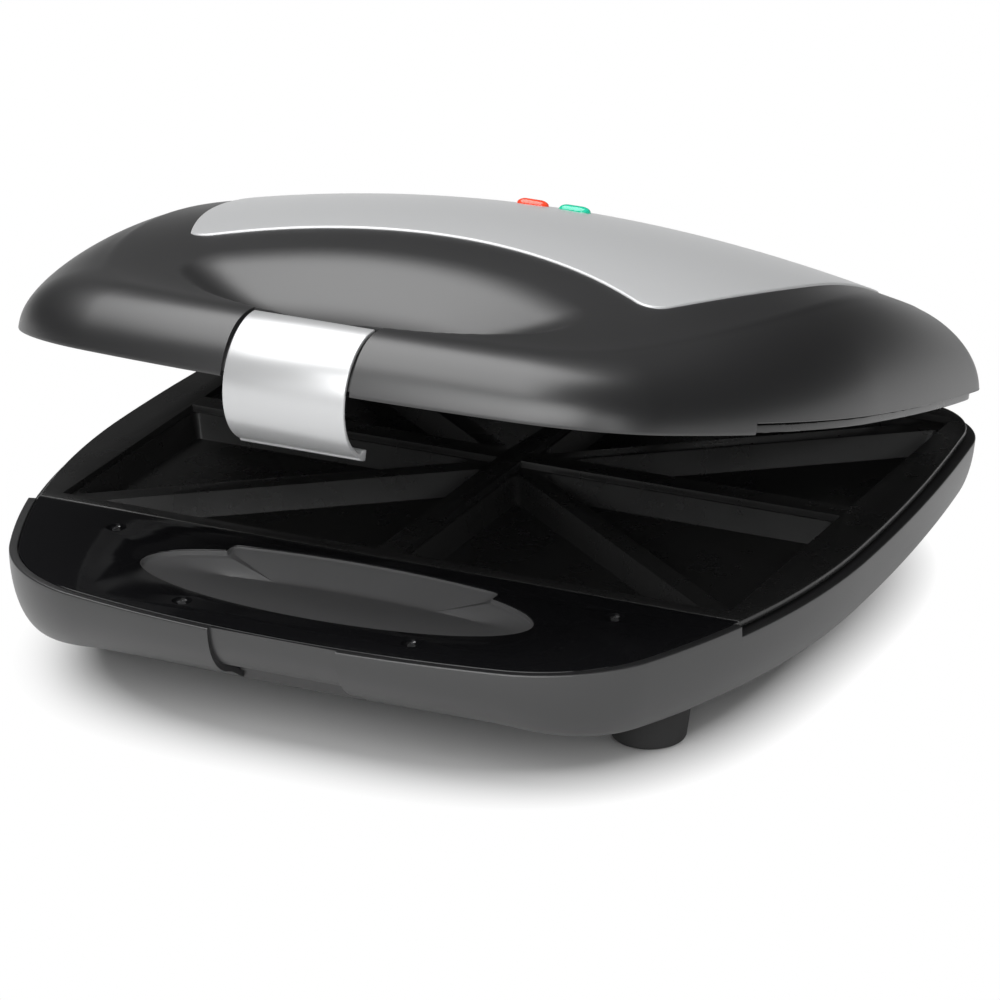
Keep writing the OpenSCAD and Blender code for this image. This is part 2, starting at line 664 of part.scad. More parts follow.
// A screw under its own head at z = 0, with a cross in the head
module screw(r, head, thick, length) {
    difference() {
        translate([0, 0, -thick]) cylinder(r = head, h = thick);
        for (a = [0, 90]) rotate(a) translate([-head * 0.6, -0.5, -0.7]) cube([head * 1.2, 1, 1]);
    }
    translate([0, 0, -length]) cylinder(r = r, h = length - thick + 0.1);
}
module panel_screws() { color("#2e2e30") base_place() panel_screw_set(); }
module panel_screw_set() { panel_screw_places() translate([0, 0, -0.2]) screw(screw_r, head_r, head_t, screw_len); }

// ------------------------------------------------ cooking plates

// Triangles for the wells of the quarter that lies to the right; each has its square corner first
well_x = [divider_w / 2, field_half];
mid_field = field_front + field_len / 2;
function quarter(rear) = rear
    ? [[well_x[0], mid_field + divider_w / 2], [well_x[1], field_front + field_len]]
    : [[well_x[0], mid_field - divider_w / 2], [well_x[1], field_front]];
function triangle(in, out, first) =
    let(corner = first ? [out[0], in[1]] : [in[0], out[1]], a = out - corner, b = in - corner,
        high = norm(a) * norm(b) / norm(a - b), k = 1 - ridge_w / 2 / high)
    [corner, corner + a * k, corner + b * k];
// The triangle with every side moved in by e
function shrink(t, e) =
    let(a = norm(t[1] - t[2]), b = norm(t[0] - t[2]), c = norm(t[0] - t[1]), sum = a + b + c,
        centre = (t[0] * a + t[1] * b + t[2] * c) / sum, r = b * c / sum)
    [for (p = t) centre + (p - centre) * (1 - e / r)];
function turn_left(t) =
    let(u = t[1] - t[0], v = t[2] - t[0]) u[0] * v[1] - u[1] * v[0] > 0 ? t : [t[0], t[2], t[1]];
wells = [for (rear = [false, true], first = [false, true])
    let(q = quarter(rear)) turn_left(triangle(q[0], q[1], first))];
module quarters() {
    for (rear = [false, true]) {
        q = quarter(rear);
        low = [q[0][0], min(q[0][1], q[1][1])];
        translate([low[0], low[1], 0]) cube([well_x[1] - well_x[0], abs(q[1][1] - q[0][1]), 10]);
    }
}
boss_deep = -cup_deep - shield_z;

module cooking_plate() {
    difference() {
        union() {
            translate([0, 0, -flange_t]) linear_extrude(flange_t) deck_shape(flange_in, false);
            sides() for (t = wells)
                loft([lift(shrink(t, well_lean - plate_t), -cup_deep), lift(shrink(t, -plate_t), -flange_t / 2)]);
            plate_screw_places() translate([0, 0, shield_z]) cylinder(r = plate_boss_r, h = boss_deep + 1);
        }
        sides() {
            for (t = wells) loft([lift(shrink(t, well_lean), -well_deep), lift(t, 0)]);
            translate([0, 0, -ridge_deep]) quarters();
        }
        plate_screw_places() translate([0, 0, shield_z - 1]) cylinder(r = plate_screw_r + fit, h = boss_deep);
    }
}
module lower_plate() { color("#161616") base_place() cooking_plate(); }

module plate_screws() {
    color("#8d8f92") base_place() plate_screw_places() translate([0, 0, -base_deep + 0.2]) mirror([0, 0, 1])
        screw(plate_screw_r, plate_head_r, plate_head_t, base_deep - cup_deep - 1.5);
}

// ------------------------------------------------ heating

loop_front = field_front + 43;
loop_rear = field_front + field_len - 35;
loop_end = 22;           // each cold end's distance from the middle
seal_len = 9;
pin_len = 13;
module bend(x, y, a0) {
    translate([x, y, element_z]) rotate([0, 0, a0])
        rotate_extrude(angle = 90) translate([loop_r, 0]) circle(r = element_r, $fn = 32);
}
module element() {
    x1 = loop_half - loop_r;
    translate([0, loop_front, element_z]) along_x(element_r, -x1, x1);
    sides() {
        bend(x1, loop_front + loop_r, -90);
        translate([loop_half, 0, element_z]) along_y(element_r, loop_front + loop_r, loop_rear - loop_r);
        bend(x1, loop_rear - loop_r, 0);
        translate([0, loop_rear, element_z]) along_x(element_r, loop_end, x1);
    }
}
module element_seals() {
    sides() translate([0, loop_rear, element_z]) {
        along_x(element_r, loop_end - seal_len, loop_end);
        along_x(1.2, loop_end - pin_len, loop_end - seal_len + 1);
    }
}
clamp_w = 10;
module element_clamps() {
    low = element_z - element_r - 1;
    ends = [loop_front + loop_r + 20, loop_rear - loop_r - 20];
    sides() for (y = ends) translate([loop_half, y - clamp_w / 2, low]) {
        for (s = [-1, 1]) translate([s * (element_r + 3) - 2, 0, 0]) cube([4, clamp_w, 2 * element_r + 1 + fit]);
        translate([-element_r - 5, 0, 0]) cube([2 * element_r + 10, clamp_w, 1]);
    }
}
shield_half = field_half - 17;
shield_front = field_front + 13;
shield_rear = field_front + field_len - 12;
shield_wall = 6;
module heat_shield() {
    difference() {
        translate([-shield_half, shield_front, shield_z - shield_t])
            cube([2 * shield_half, shield_rear - shield_front, shield_wall + shield_t]);
        translate([-shield_half + shield_t, shield_front + shield_t, shield_z])
            cube([2 * (shield_half - shield_t), shield_rear - shield_front - 2 * shield_t, shield_wall + 1]);
        translate([-50, shield_rear - 5, shield_z]) cube([100, 10, shield_wall + 1]);
        plate_screw_places() translate([0, 0, shield_z - 2]) cylinder(r = plate_screw_r + 0.3, h = 4);
    }
}
module lower_element() { color("#7d7468") base_place() element(); }
module lower_element_seals() { color("#e8e2d4") base_place() element_seals(); }
module lower_element_clamps() { color("#b9bcc0") base_place() element_clamps(); }
module lower_heat_shield() { color("#b9bcc0") base_place() heat_shield(); }

thermostat_r = 8;
module thermostat() {
    color("#3a2a20") base_place() translate([0, mid_field, -cup_deep]) {
        translate([-20, -6, -1]) cube([40, 12, 1]);
        translate([0, 0, -6.5]) cylinder(r = thermostat_r, h = 6);
        for (s = [-1, 1]) translate([s * 5 - 2, -12, -6]) cube([4, 24, 0.8]);
    }
}
fuse_r = 2.6;
module thermal_fuse() {
    color("#d9d4c8") base_place() translate([0, mid_field - 36, -cup_deep - fuse_r]) along_x(fuse_r, -14, 14);
}
block_at = [28, shield_rear + 1, inner_floor];
block_size = [28, 10, 10.5];
block_top = inner_floor + block_size[2];
pole_step = 9.5;
module terminal_block() {
    color("#e6e1d6") base_place() translate(block_at) difference() {
        cube(block_size);
        for (i = [0 : 2]) translate([4.5 + i * pole_step, block_size[1] / 2, 3]) cylinder(r = 2.2, h = block_size[2]);
    }
}
module inlet_bushing() {
    color("#1a1a1a") base_place() translate([inlet_x, 0, inlet_z]) difference() {
        union() {
            along_y(inlet_body_r - fit, rear_d - inlet_in, rear_d - 1);
            along_y(inlet_rim_r, rear_d - inlet_rim_t, rear_d + 1.6);
        }
        along_y(inlet_r, rear_d - inlet_in - 1, rear_d + 2);
    }
}
wire_r = 1.1;
pin_at = loop_end - pin_len - 1.2;               // where a wire meets an element's pin
lead_end = hinge_y - lead_back - 0.6;            // where one meets the hinge's lead
module lower_wiring() {
    block_left = block_at[0] - 0.7;
    color("#b03a2e") base_place() {
        wire([[pin_at, loop_rear, element_z],
            [pin_at + 1, loop_rear + 10, block_top - 0.1],
            [block_at[0] + 4.5, block_at[1] - 0.8, block_top - 1.9]], wire_r);
        wire([[-pin_at, loop_rear, element_z],
            [-pin_at, block_at[1] + 1, block_top - 0.6],
            [block_left, block_at[1] + 3, block_top - 2.6]], wire_r);
        wire([[-lead_x, lead_end, -lead_z - 0.4],
            [6 - lead_x, lead_end - 7.4, -lead_z - 9],
            [block_left, block_at[1] + 7.5, inner_floor + 3.4]], wire_r);
    }
}

// ------------------------------------------------ hinge

module hinge_pins() {
    color("#9a9ca0") base_place() sides() translate([hinge_x, hinge_y, 0]) {
        along_x(pin_r, -hinge_half - 0.5, hinge_half + 0.1);
        along_x(pin_r + 2, hinge_half, hinge_half + 2);
    }
}
module base_hinge_lead() { color("#202020") base_place() lead_path(lead_r, -1, -1, 0.02); }

// ------------------------------------------------ lid

function ring_of(columns, j) = [for (c = columns) c[j]];
points_n = len(casing_line);
function middle_ring(inset, j, drop) =
    [for (k = [0 : points_n - 1]) let(q = middle_spoke(k, inset, 0, middle_n)[j]) [q[0], q[1], dome(q) - drop]];
module lid_shell() {
    outer = [for (k = [0 : points_n - 1]) skin(k)];
    inner = [for (k = [0 : points_n - 1]) inner_skin(k)];
    n = len(outer[0]);
    loft(concat(
        [for (j = [middle_n - 1 : -1 : 0]) middle_ring(seat_gap - wall_t, j, insert_seat + wall_t)],
        [for (j = [n - 2 : -1 : 0]) ring_of(inner, j)],
        [for (j = [0 : n - 1]) ring_of(outer, j)],
        [for (j = [0 : middle_n - 1]) middle_ring(seat_gap, j, insert_seat)]));
}
function inset_of(q) = min(front_r - norm(q - c_front), side_front_r - norm(q - c_side));
function lid_top(q) = lid_z([q, [0, -1]], q, inset_of(q));
// Where a post in the lid ends inside the lid's wall
function post_top(q) = min([for (a = [0 : 60 : 300]) lid_top(q + unit(a) * boss_r)]) - wall_t / 2;
function seat_top(q) = min([for (a = [0 : 60 : 300]) dome(q + unit(a) * plate_boss_r)]) - insert_seat - wall_t / 2;
lens_top = dome([lens_x, lens_y]);
lens_deep = 7;           // from the dome down to the underside of a lens
holder_x = 22;

module lens_places() { for (s = [-1, 1]) translate([s * lens_x, lens_y, lens_top]) children(); }
module lid_casing() {
    color("#454547") lid_place() difference() {
        union() {
            difference() {
                lid_shell();
                edge_cut(-1);
                channel(-1, nose_r + 4, -carrier_back);
            }
            sides() {
                for (q = [[screw_out_x, -screw_out_y], [screw_in_x, -screw_in_y]])
                    translate([q[0], q[1], ledge_deep]) cylinder(r = boss_r, h = post_top(q) - ledge_deep);
                for (y = plate_screw_y) translate([plate_screw_x, y, shield_t - shield_z])
                    cylinder(r = plate_boss_r, h = seat_top([plate_screw_x, y]) + shield_z - shield_t);
                translate([holder_x, lens_y, lens_top - lens_deep])
                    cylinder(r = 3, h = lens_deep - insert_seat - wall_t / 2 - 1);
            }
            translate([0, 0, -deck_gap]) {
                sides() translate([hinge_x, hinge_y, 0])
                    knuckle(lid_knuckle_w, knuckle_r, knuckle_r, true, hinge_bow);
                translate([lead_boss / 2 + swing_gap / 4, hinge_y, 0])
                    knuckle(lead_boss_w, lead_r + lead_wall, lead_z, true);
            }
        }
        turned() panel_screw_places() translate([0, 0, 2 - bore_len]) cylinder(r = screw_bore_r, h = bore_len - 2);
        sides() for (y = plate_screw_y) translate([plate_screw_x, y, 0]) {
            cylinder(r = plate_screw_r + fit, h = dome_h + 5);
            translate([0, 0, seat_top([plate_screw_x, y]) - 2.5]) cylinder(r = plate_sink_r, h = 12);
        }
        lens_places() translate([0, 0, -10]) slot_prism(lens_half + seat_gap, lens_half_w + seat_gap, 20);
        translate([0, 0, -deck_gap]) {
            sides() translate([hinge_x, hinge_y, 0]) along_x(pin_r + fit, -lid_knuckle_w, lid_knuckle_w);
            lead_path(lead_r + lead_gap, 1, 1, -1);
        }
    }
}

module lid_insert() {
    top = insert_proud;
    low = top - insert_t;
    edge = 0.8;
    color("#b9bbbe") lid_place() difference() {
        loft(concat(
            [for (j = [middle_n - 1 : -1 : 0]) middle_ring(0, j, -low)],
            [[for (p = middle_ring(0, 0, -low)) [p[0], p[1], p[2] + insert_t - edge]]],
            [for (j = [0 : middle_n - 1]) middle_ring(j == 0 ? -edge : 0, j, -top)]), turned = true);
        lens_places() translate([0, 0, -10]) slot_prism(lens_half + 0.2, lens_half_w + 0.2, 20);
    }
}
module lens() {
    translate([0, 0, -lens_deep]) {
        slot_prism(lens_half, lens_half_w, lens_deep + insert_proud + lens_rise);
        slot_prism(lens_half + 0.9, lens_half_w + 1.2, 1.6);
    }
}
module red_lens() { color("#d8402c") lid_place() translate([-lens_x, lens_y, lens_top]) lens(); }
module green_lens() { color("#18a878") lid_place() translate([lens_x, lens_y, lens_top]) lens(); }
module lamp_holder() {
    color("#d9d4c8") lid_place() translate([0, lens_y, lens_top - lens_deep - 2]) difference() {
        translate([-holder_x - 5, -7, 0]) cube([2 * holder_x + 10, 14, 2 - fit]);
        for (s = [-1, 1]) translate([s * lens_x, 0, -1]) cylinder(r = 2.6, h = 4);
    }
}
module pilot_lamps() {
    color("#e9b08a") lid_place() lens_places() translate([0, 0, -17]) cylinder(r = 2.55, h = 9.9);
}

module clip_carrier() {
    w = 2 * channel_half;
    pocket_x = clip_lug_x + clip_lug_w / 2 + 0.6;
    color("#454547") lid_place() difference() {
        intersection() {
            nose_ring(11, channel_r, 0, 100, channel_half);
            translate([-channel_half, -front_d, ledge_deep]) cube([w, front_d + nose_y - carrier_back, nose_r]);
        }
        translate([-pocket_x, clip_pivot[0] - 4.4, clip_pivot[1] - 4.4]) cube([2 * pocket_x, 20, 20]);
        translate([-channel_half - 1, nose_y - 6, channel_r - 2.3]) cube([w + 2, 10, 10]);
        translate([0, clip_pivot[0], clip_pivot[1]]) along_x(clip_pin_r + fit, -clip_half, clip_half);
    }
}
module upper_panel() { color("#060606") lid_place() turned() panel(); }
module upper_recess_tray() { color("#434345") lid_place() turned() recess_tray(); }
module upper_panel_screws() { color("#2e2e30") lid_place() turned() panel_screw_set(); }
module upper_plate() { color("#161616") lid_place() turned() cooking_plate(); }
module upper_element() { color("#7d7468") lid_place() turned() element(); }
module upper_element_seals() { color("#e8e2d4") lid_place() turned() element_seals(); }
module upper_element_clamps() { color("#b9bcc0") lid_place() turned() element_clamps(); }
module upper_heat_shield() { color("#b9bcc0") lid_place() turned() heat_shield(); }
module upper_plate_screws() {
    color("#8d8f92") lid_place() sides() for (y = plate_screw_y) {
        top = seat_top([plate_screw_x, y]) + 0.2;
        translate([plate_screw_x, y, top])
            screw(plate_screw_r, plate_head_r, plate_head_t - 0.1, top - cup_deep - 1.5);
    }
}
module upper_wiring() {
    color("#b03a2e") lid_place() {
        wire([[lead_x - 1.4, lead_end, lead_z],
            [lead_x - 2, lead_end - 7.4, lead_z + 12],
            [lead_x / 2, lead_end - 21.4, lead_z + 21],
            [0, lens_y + 20, dome_h - 21.3],
            [0, lens_y, lens_top - 10]], wire_r);
        wire([[lead_x + 1.4, lead_end, lead_z],
            [lead_x - 1, lead_end - 7.4, lead_z + 7.5],
            [pin_at, loop_rear + 17, 2.15 - element_z],
            [pin_at, loop_rear, -element_z]], wire_r);
    }
}
module lid_hinge_lead() { color("#202020") lid_place() translate([0, 0, -deck_gap]) lead_path(lead_r, 1, 1, 0.02); }

// ------------------------------------------------ clip

module clip() {
    reach = clip_r - norm(clip_pivot - [nose_y, 0]) + 0.8;
    color("#c9cbce") lid_place() difference() {
        union() {
            nose_ring(clip_r, nose_r, clip_bottom, clip_top, clip_half);
            nose_ring(clip_r - hook_in, nose_r + hook_out, clip_bottom - hook_turn, clip_bottom, clip_half);
            for (s = [-1, 1]) translate([s * clip_lug_x - clip_lug_w / 2, clip_pivot[0], clip_pivot[1]]) {
                along_x(clip_lug_r, 0, clip_lug_w);
                rotate([-15, 0, 0]) translate([0, -clip_lug_r, 0]) cube([clip_lug_w, 2 * clip_lug_r - 2, reach]);
            }
        }
        translate([0, clip_pivot[0], clip_pivot[1]]) along_x(clip_pin_r + fit, -clip_half, clip_half);
    }
}
module clip_pin() {
    color("#9a9ca0") lid_place() translate([0, clip_pivot[0], clip_pivot[1]])
        along_x(clip_pin_r, -clip_half + 0.5, clip_half - 0.5);
}
module clip_spring() {
    color("#8d8f92") lid_place() translate([0, clip_pivot[0], clip_pivot[1]]) difference() {
        along_x(clip_pin_r + 1.4, -8, 8);
        along_x(clip_pin_r + 0.4, -9, 9);
        for (x = [-6 : 3 : 6]) translate([x - 0.5, 0, 0]) difference() {
            along_x(clip_pin_r + 3, 0, 1);
            along_x(clip_pin_r + 0.9, -1, 2);
        }
    }
}

base_casing();
catch_block();
feet();
foot_pads();
lower_panel();
lower_recess_tray();
panel_screws();
lower_plate();
plate_screws();
lower_element();
lower_element_seals();
lower_element_clamps();
lower_heat_shield();
thermostat();
thermal_fuse();
terminal_block();
inlet_bushing();
lower_wiring();
hinge_pins();
base_hinge_lead();
lid_casing();
lid_insert();
red_lens();
green_lens();
lamp_holder();
pilot_lamps();
clip_carrier();
upper_panel();
upper_recess_tray();
upper_panel_screws();
upper_plate();
upper_plate_screws();
upper_element();
upper_element_seals();
upper_element_clamps();
upper_heat_shield();
upper_wiring();
lid_hinge_lead();
clip();
clip_pin();
clip_spring();
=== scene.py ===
from math import acos, asin, atan2, cos, degrees, hypot, pi, radians, sin, sqrt

import bpy
import bmesh
import numpy as np
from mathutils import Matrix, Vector
from numpy.linalg import norm


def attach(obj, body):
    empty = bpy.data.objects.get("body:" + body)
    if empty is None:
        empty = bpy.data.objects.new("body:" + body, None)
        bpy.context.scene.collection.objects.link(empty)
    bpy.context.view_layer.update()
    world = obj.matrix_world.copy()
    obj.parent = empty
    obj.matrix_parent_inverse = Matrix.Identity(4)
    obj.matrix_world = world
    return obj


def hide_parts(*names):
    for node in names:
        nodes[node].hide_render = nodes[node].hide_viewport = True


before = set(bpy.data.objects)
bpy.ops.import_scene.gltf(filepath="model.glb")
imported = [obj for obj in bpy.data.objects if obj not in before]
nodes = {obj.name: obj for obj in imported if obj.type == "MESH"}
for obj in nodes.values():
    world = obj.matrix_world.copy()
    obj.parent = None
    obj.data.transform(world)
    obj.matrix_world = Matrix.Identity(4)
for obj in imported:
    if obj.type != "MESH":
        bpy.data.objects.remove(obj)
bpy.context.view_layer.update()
print("frame loaded:", len(nodes), "nodes")
scene = bpy.context.scene

# Millimetres in the deck's own frame: x from the middle, y back from the seam, z up from the deck.
# The lid has the same frame with its own deck, and stands ajar about the hinge.
toaster = {
    "standHeight": 58, "middleY": 97.4, "hingeY": 285, "ajar": 15.3, "lidGap": 0.8,
    "width": 351, "frontY": -99.2, "rearY": 270, "widestY": 94,
    "frontR": 510, "frontCornerR": 68, "sideFrontR": 350, "sideRearR": 1060, "rearCornerR": 36, "rearR": 3000,
    "noseR": 26, "wall": 2.6, "seamY": -4, "sideDrop": 4.5, "channelHalf": 28.2, "frontFade": 150,
}
noseY = toaster["frontY"] + toaster["noseR"]
halfWidth = toaster["width"] / 2
ajar = radians(toaster["ajar"])


def onBase(points):
    p = np.asarray(points, float)
    return (p + [0, -toaster["middleY"], toaster["standHeight"]]) / 1000


def onLid(points):
    p = np.asarray(points, float) - [0, toaster["hingeY"], -toaster["lidGap"]]
    c, s = cos(ajar), sin(ajar)
    y, z = p[..., 1], p[..., 2]
    return onBase(np.stack([p[..., 0], y * c + z * s + toaster["hingeY"], z * c - y * s], -1))


class Wire:
    # One output of a node; sums, products and comparisons of wires add the Math nodes for them
    def __init__(self, look, socket):
        self.look, self.socket = look, socket

    def mathNode(self, operation, *values):
        return self.look.add("ShaderNodeMath", {"operation": operation}, list(values))

    def __add__(self, other): return self.mathNode("ADD", self, other)
    def __sub__(self, other): return self.mathNode("SUBTRACT", self, other)
    def __rsub__(self, other): return self.mathNode("SUBTRACT", other, self)
    def __mul__(self, other): return self.mathNode("MULTIPLY", self, other)
    def __truediv__(self, other): return self.mathNode("DIVIDE", self, other)
    def __gt__(self, other): return self.mathNode("GREATER_THAN", self, other)
    def __neg__(self): return self.mathNode("MULTIPLY", self, -1.0)
    __radd__, __rmul__ = __add__, __mul__

    def root(self): return self.mathNode("SQRT", self.most(0.0))
    def most(self, other): return self.mathNode("MAXIMUM", self, other)
    def clipped(self): return self.mathNode("MINIMUM", self, 1.0).most(0.0)


class Nodes:
    # Adds and joins nodes in a material's, world's or geometry tree
    def link(self, value, socket):
        if isinstance(value, Wire):
            self.tree.links.new(value.socket, socket)
        elif value is not None:
            if isinstance(value, (tuple, list)) and len(socket.default_value) == 4:
                value = [*value, 1]  # a colour's alpha
            socket.default_value = value

    def add(self, kind, settings=None, inputs=None, output=0):
        node = self.tree.nodes.new(kind)
        for key, value in (settings or {}).items():
            if key == "stops":  # the two of a colour ramp
                for element, (place, level) in zip(node.color_ramp.elements, value):
                    element.position, element.color = place, [level, level, level, 1]
            else:
                setattr(node, key, value)
        pairs = inputs.items() if isinstance(inputs, dict) else enumerate(inputs or [])
        for key, value in pairs:
            for one in value if isinstance(value, list) and isinstance(value[0], Wire) else [value]:
                self.link(one, node.inputs[key])
        return Wire(self, node.outputs[output])


class Look(Nodes):
    def __init__(self, name, world=False):
        self.data = (bpy.data.worlds if world else bpy.data.materials).new(name)
        self.data.use_nodes = True
        self.tree = self.data.node_tree
        self.tree.nodes.clear()
        self.world = world

    def place(self): return self.add("ShaderNodeTexCoord", output="Object")

    def stretched(self, scale):
        return self.add("ShaderNodeMapping", {}, {"Vector": self.place(), "Scale": scale})

    def noise(self, scale, detail=3, rough=0.5, where=None):
        values = {"Vector": where or self.place(), "Scale": scale, "Detail": detail, "Roughness": rough}
        return self.add("ShaderNodeTexNoise", {}, values, "Fac")

    def ramp(self, value, *stops):
        return self.add("ShaderNodeValToRGB", {"stops": stops}, {"Fac": value})

    def mix(self, amount, first, second):
        node = self.tree.nodes.new("ShaderNodeMix")
        node.data_type = "RGBA"
        for key, value in ((0, amount), (6, first), (7, second)):
            self.link(value, node.inputs[key])
        return Wire(self, node.outputs[2])

    def rays(self, *kinds):
        node = self.tree.nodes.new("ShaderNodeLightPath")
        return [Wire(self, node.outputs[kind]) for kind in kinds]

    def toned(self, amount, colour, low, high=1.0):
        return self.mix(amount, [c * low for c in colour], [c * high for c in colour])

    def finish(self, tone, rough, bump=None, **more):
        # bump is a height, its depth in metres and its strength
        values = {"Base Color": tone, "Roughness": rough, **more}
        if bump:
            bump = dict(zip(("Height", "Distance", "Strength"), bump))
            values["Normal"] = self.add("ShaderNodeBump", {}, bump, "Normal")
        return self.output(self.add("ShaderNodeBsdfPrincipled", {}, values))

    def output(self, shader):
        kind = "ShaderNodeOutputWorld" if self.world else "ShaderNodeOutputMaterial"
        self.link(shader, self.tree.nodes.new(kind).inputs["Surface"])
        return self.data


# Finishes: plain values first, then how each one is drawn
finishes = {
    "casing": {"colour": (0.012, 0.012, 0.0125), "rough": 0.30, "grain": 0.00002, "specular": 0.85},
    "panel": {"colour": (0.0045, 0.0045, 0.005), "rough": 0.05, "dust": (0.05, 0.05, 0.05)},
    "tray": {"colour": (0.062, 0.062, 0.063), "rough": 0.5, "grain": 0.00003},
    # the coating's second colour is a painted highlight for the rounded edges of the plates
    "coating": {"colour": (0.008, 0.008, 0.008), "rough": 0.22, "highlightEdge": (0.10, 0.10, 0.10)},
    "silver": {"colour": (0.47, 0.475, 0.48), "rough": 0.32, "metal": 0.3},
    "clip": {"colour": (0.50, 0.505, 0.51), "rough": 0.26, "metal": 0.5},
    # the lenses' glow is painted: an even emission, though they are no lamps
    "lens": {"glow": 0.25, "coat": 0.5, "clear": 0.2},
}


def casingLook():
    f = finishes["casing"]
    look = Look("satinCasing")
    grain = look.noise(2600, 2, 0.6)
    cloud = look.noise(9, 3, 0.55)
    return look.finish(look.toned(cloud, f["colour"], 0.93, 1.07), f["rough"] + 0.06 * cloud + 0.05 * grain,
                       (grain, f["grain"], 0.5), **{"Specular IOR Level": f["specular"]})


def panelLook():
    f = finishes["panel"]
    look = Look("glossPanel")
    haze = look.noise(14, 3, 0.6)
    dust = look.noise(900, 2, 0.5) > 0.71
    return look.finish(look.mix(dust * 0.25, f["colour"], f["dust"]), f["rough"] + 0.05 * haze + 0.12 * dust)


def trayLook():
    f = finishes["tray"]
    look = Look("mattTray")
    grain = look.noise(2200, 3, 0.6)
    return look.finish(look.toned(look.noise(30, 2), f["colour"], 0.92, 1.08), f["rough"] + 0.08 * grain,
                       (grain, f["grain"], 0.6))


def coatingLook(name, highlightEdge):
    f = finishes["coating"]
    look = Look(name)
    orangePeel = look.noise(700, 2, 0.5)
    haze = look.noise(35, 4, 0.6)
    tone = look.toned(haze, f["colour"], 1, 1.7)
    # the rounded edges are painted lighter in patches: a painted highlight line, not wear
    if highlightEdge:
        highlightPatches = ((look.noise(160, 4, 0.7) - 0.36) * 5).clipped()
        tone = look.mix(highlightPatches, tone, f["highlightEdge"])
    return look.finish(tone, f["rough"] + 0.12 * haze, (orangePeel, 0.00004, 0.5))


def silverLook():
    f = finishes["silver"]
    look = Look("satinSilver")
    flake = look.noise(3200, 2, 0.7)
    brushed = look.noise(1.0, 4, 0.65, look.stretched((40, 2600, 2600)))
    return look.finish(look.toned(0.7 * brushed + 0.3 * flake, f["colour"], 0.95, 1.05), f["rough"] + 0.06 * brushed,
                       (brushed, 0.000004, 0.3), Metallic=f["metal"])


def clipLook():
    f = finishes["clip"]
    look = Look("clipSilver")
    cloud = look.noise(1.0, 2, 0.5, look.stretched((8, 60, 60)))
    return look.finish(look.toned(cloud, f["colour"], 0.95), f["rough"] + 0.06 * cloud,
                       (cloud, 0.00002, 0.2), Metallic=f["metal"])


def metalLook(name, colour, rough, streak=(60, 60, 60), tint=None):
    look = Look(name)
    lines = look.noise(20, 4, 0.6, look.stretched(streak))
    blotch = look.noise(45, 3, 0.6)
    tone = look.toned(blotch, colour, 0.85)
    if tint:
        tone = look.mix(((blotch - 0.4) * 3).clipped(), tone, tint)
    return look.finish(tone, rough + 0.15 * lines, (lines, 0.00002, 0.4), Metallic=1.0)


def mouldedLook(name, colour, rough, grain=0.00002):
    look = Look(name)
    speck = look.noise(1800, 3, 0.6)
    cloud = look.noise(40, 3, 0.6)
    return look.finish(look.toned(cloud, colour, 0.88, 1.08), rough + 0.08 * speck, (speck, grain, 0.6))


def lensLook(name, colour, deep):
    # Moulded colour with a painted glow: an even emission all over stands in for light coming through the plastic
    f = finishes["lens"]
    look = Look(name)
    spot = look.noise(260, 2)
    tone = look.mix(spot, deep, colour)
    return look.finish(tone, 0.10 + 0.06 * spot, **{"Emission Color": tone, "Emission Strength": f["glow"],
                                                    "Coat Weight": f["coat"], "Transmission Weight": f["clear"]})


def sleeveLook():
    look = Look("wovenSleeve")
    place = look.place()
    weave = look.add("ShaderNodeTexVoronoi", {"feature": "F1"}, {"Vector": place, "Scale": 2400.0}, "Distance")
    tone = look.mix(weave, (0.5, 0.08, 0.05), (0.25, 0.03, 0.02))
    return look.finish(tone, 0.7 + 0.1 * weave, (weave, 0.0001, 0.8))


def lampLook():
    look = Look("lampGlass")
    haze = look.noise(300, 2)
    tone = look.mix(haze, (0.95, 0.75, 0.55), (1.0, 0.86, 0.7))
    return look.finish(tone, 0.05 + 0.1 * haze, **{"Transmission Weight": 0.8})


looks = {
    "casing": casingLook(), "panel": panelLook(), "tray": trayLook(), "silver": silverLook(), "clip": clipLook(),
    "coating": coatingLook("nonStickCoating", False), "coatingEdge": coatingLook("coatingEdge", True),
    "redLens": lensLook("redLens", (0.85, 0.10, 0.04), (0.60, 0.03, 0.015)),
    "greenLens": lensLook("greenLens", (0.03, 0.55, 0.36), (0.01, 0.34, 0.20)),
    "darkSteel": metalLook("blackenedSteel", (0.36, 0.36, 0.365), 0.36),
    "zinc": metalLook("zincPlate", (0.56, 0.57, 0.58), 0.32),
    "pin": metalLook("groundPin", (0.6, 0.6, 0.62), 0.22, (400, 60, 60)),
    "heated": metalLook("heatedSteel", (0.30, 0.26, 0.22), 0.4, tint=(0.16, 0.13, 0.16)),
    "foil": metalLook("rolledAluminium", (0.72, 0.73, 0.75), 0.3, (8, 500, 60)),
    "ceramic": mouldedLook("ceramic", (0.80, 0.76, 0.68), 0.7),
    "phenolic": mouldedLook("phenolic", (0.06, 0.03, 0.018), 0.45),
    "rubber": mouldedLook("blackRubber", (0.02, 0.02, 0.02), 0.75, 0.00004),
    "black": mouldedLook("blackMoulding", (0.022, 0.022, 0.022), 0.5),
    "sleeve": sleeveLook(), "lamp": lampLook(),
}
print("finishes made:", len(looks))


# The outline, by the same rule as in the part's source, with more points

def angleOf(v):
    return degrees(atan2(v[1], v[0]))


def crossOf(c0, r0, c1, r1, side):
    d = norm(c1 - c0)
    a = (r0 * r0 - r1 * r1 + d * d) / (2 * d)
    u = (c1 - c0) / d
    return c0 + u * a + np.array([-u[1], u[0]]) * sqrt(max(r0 * r0 - a * a, 0)) * side


def arcLine(centre, r, a0, a1, steps, bulge=1):
    a = np.radians(a0 + (a1 - a0) * np.asarray(steps))
    u = np.stack([np.cos(a), np.sin(a)], 1)
    return np.hstack([centre + r * u, u * bulge])


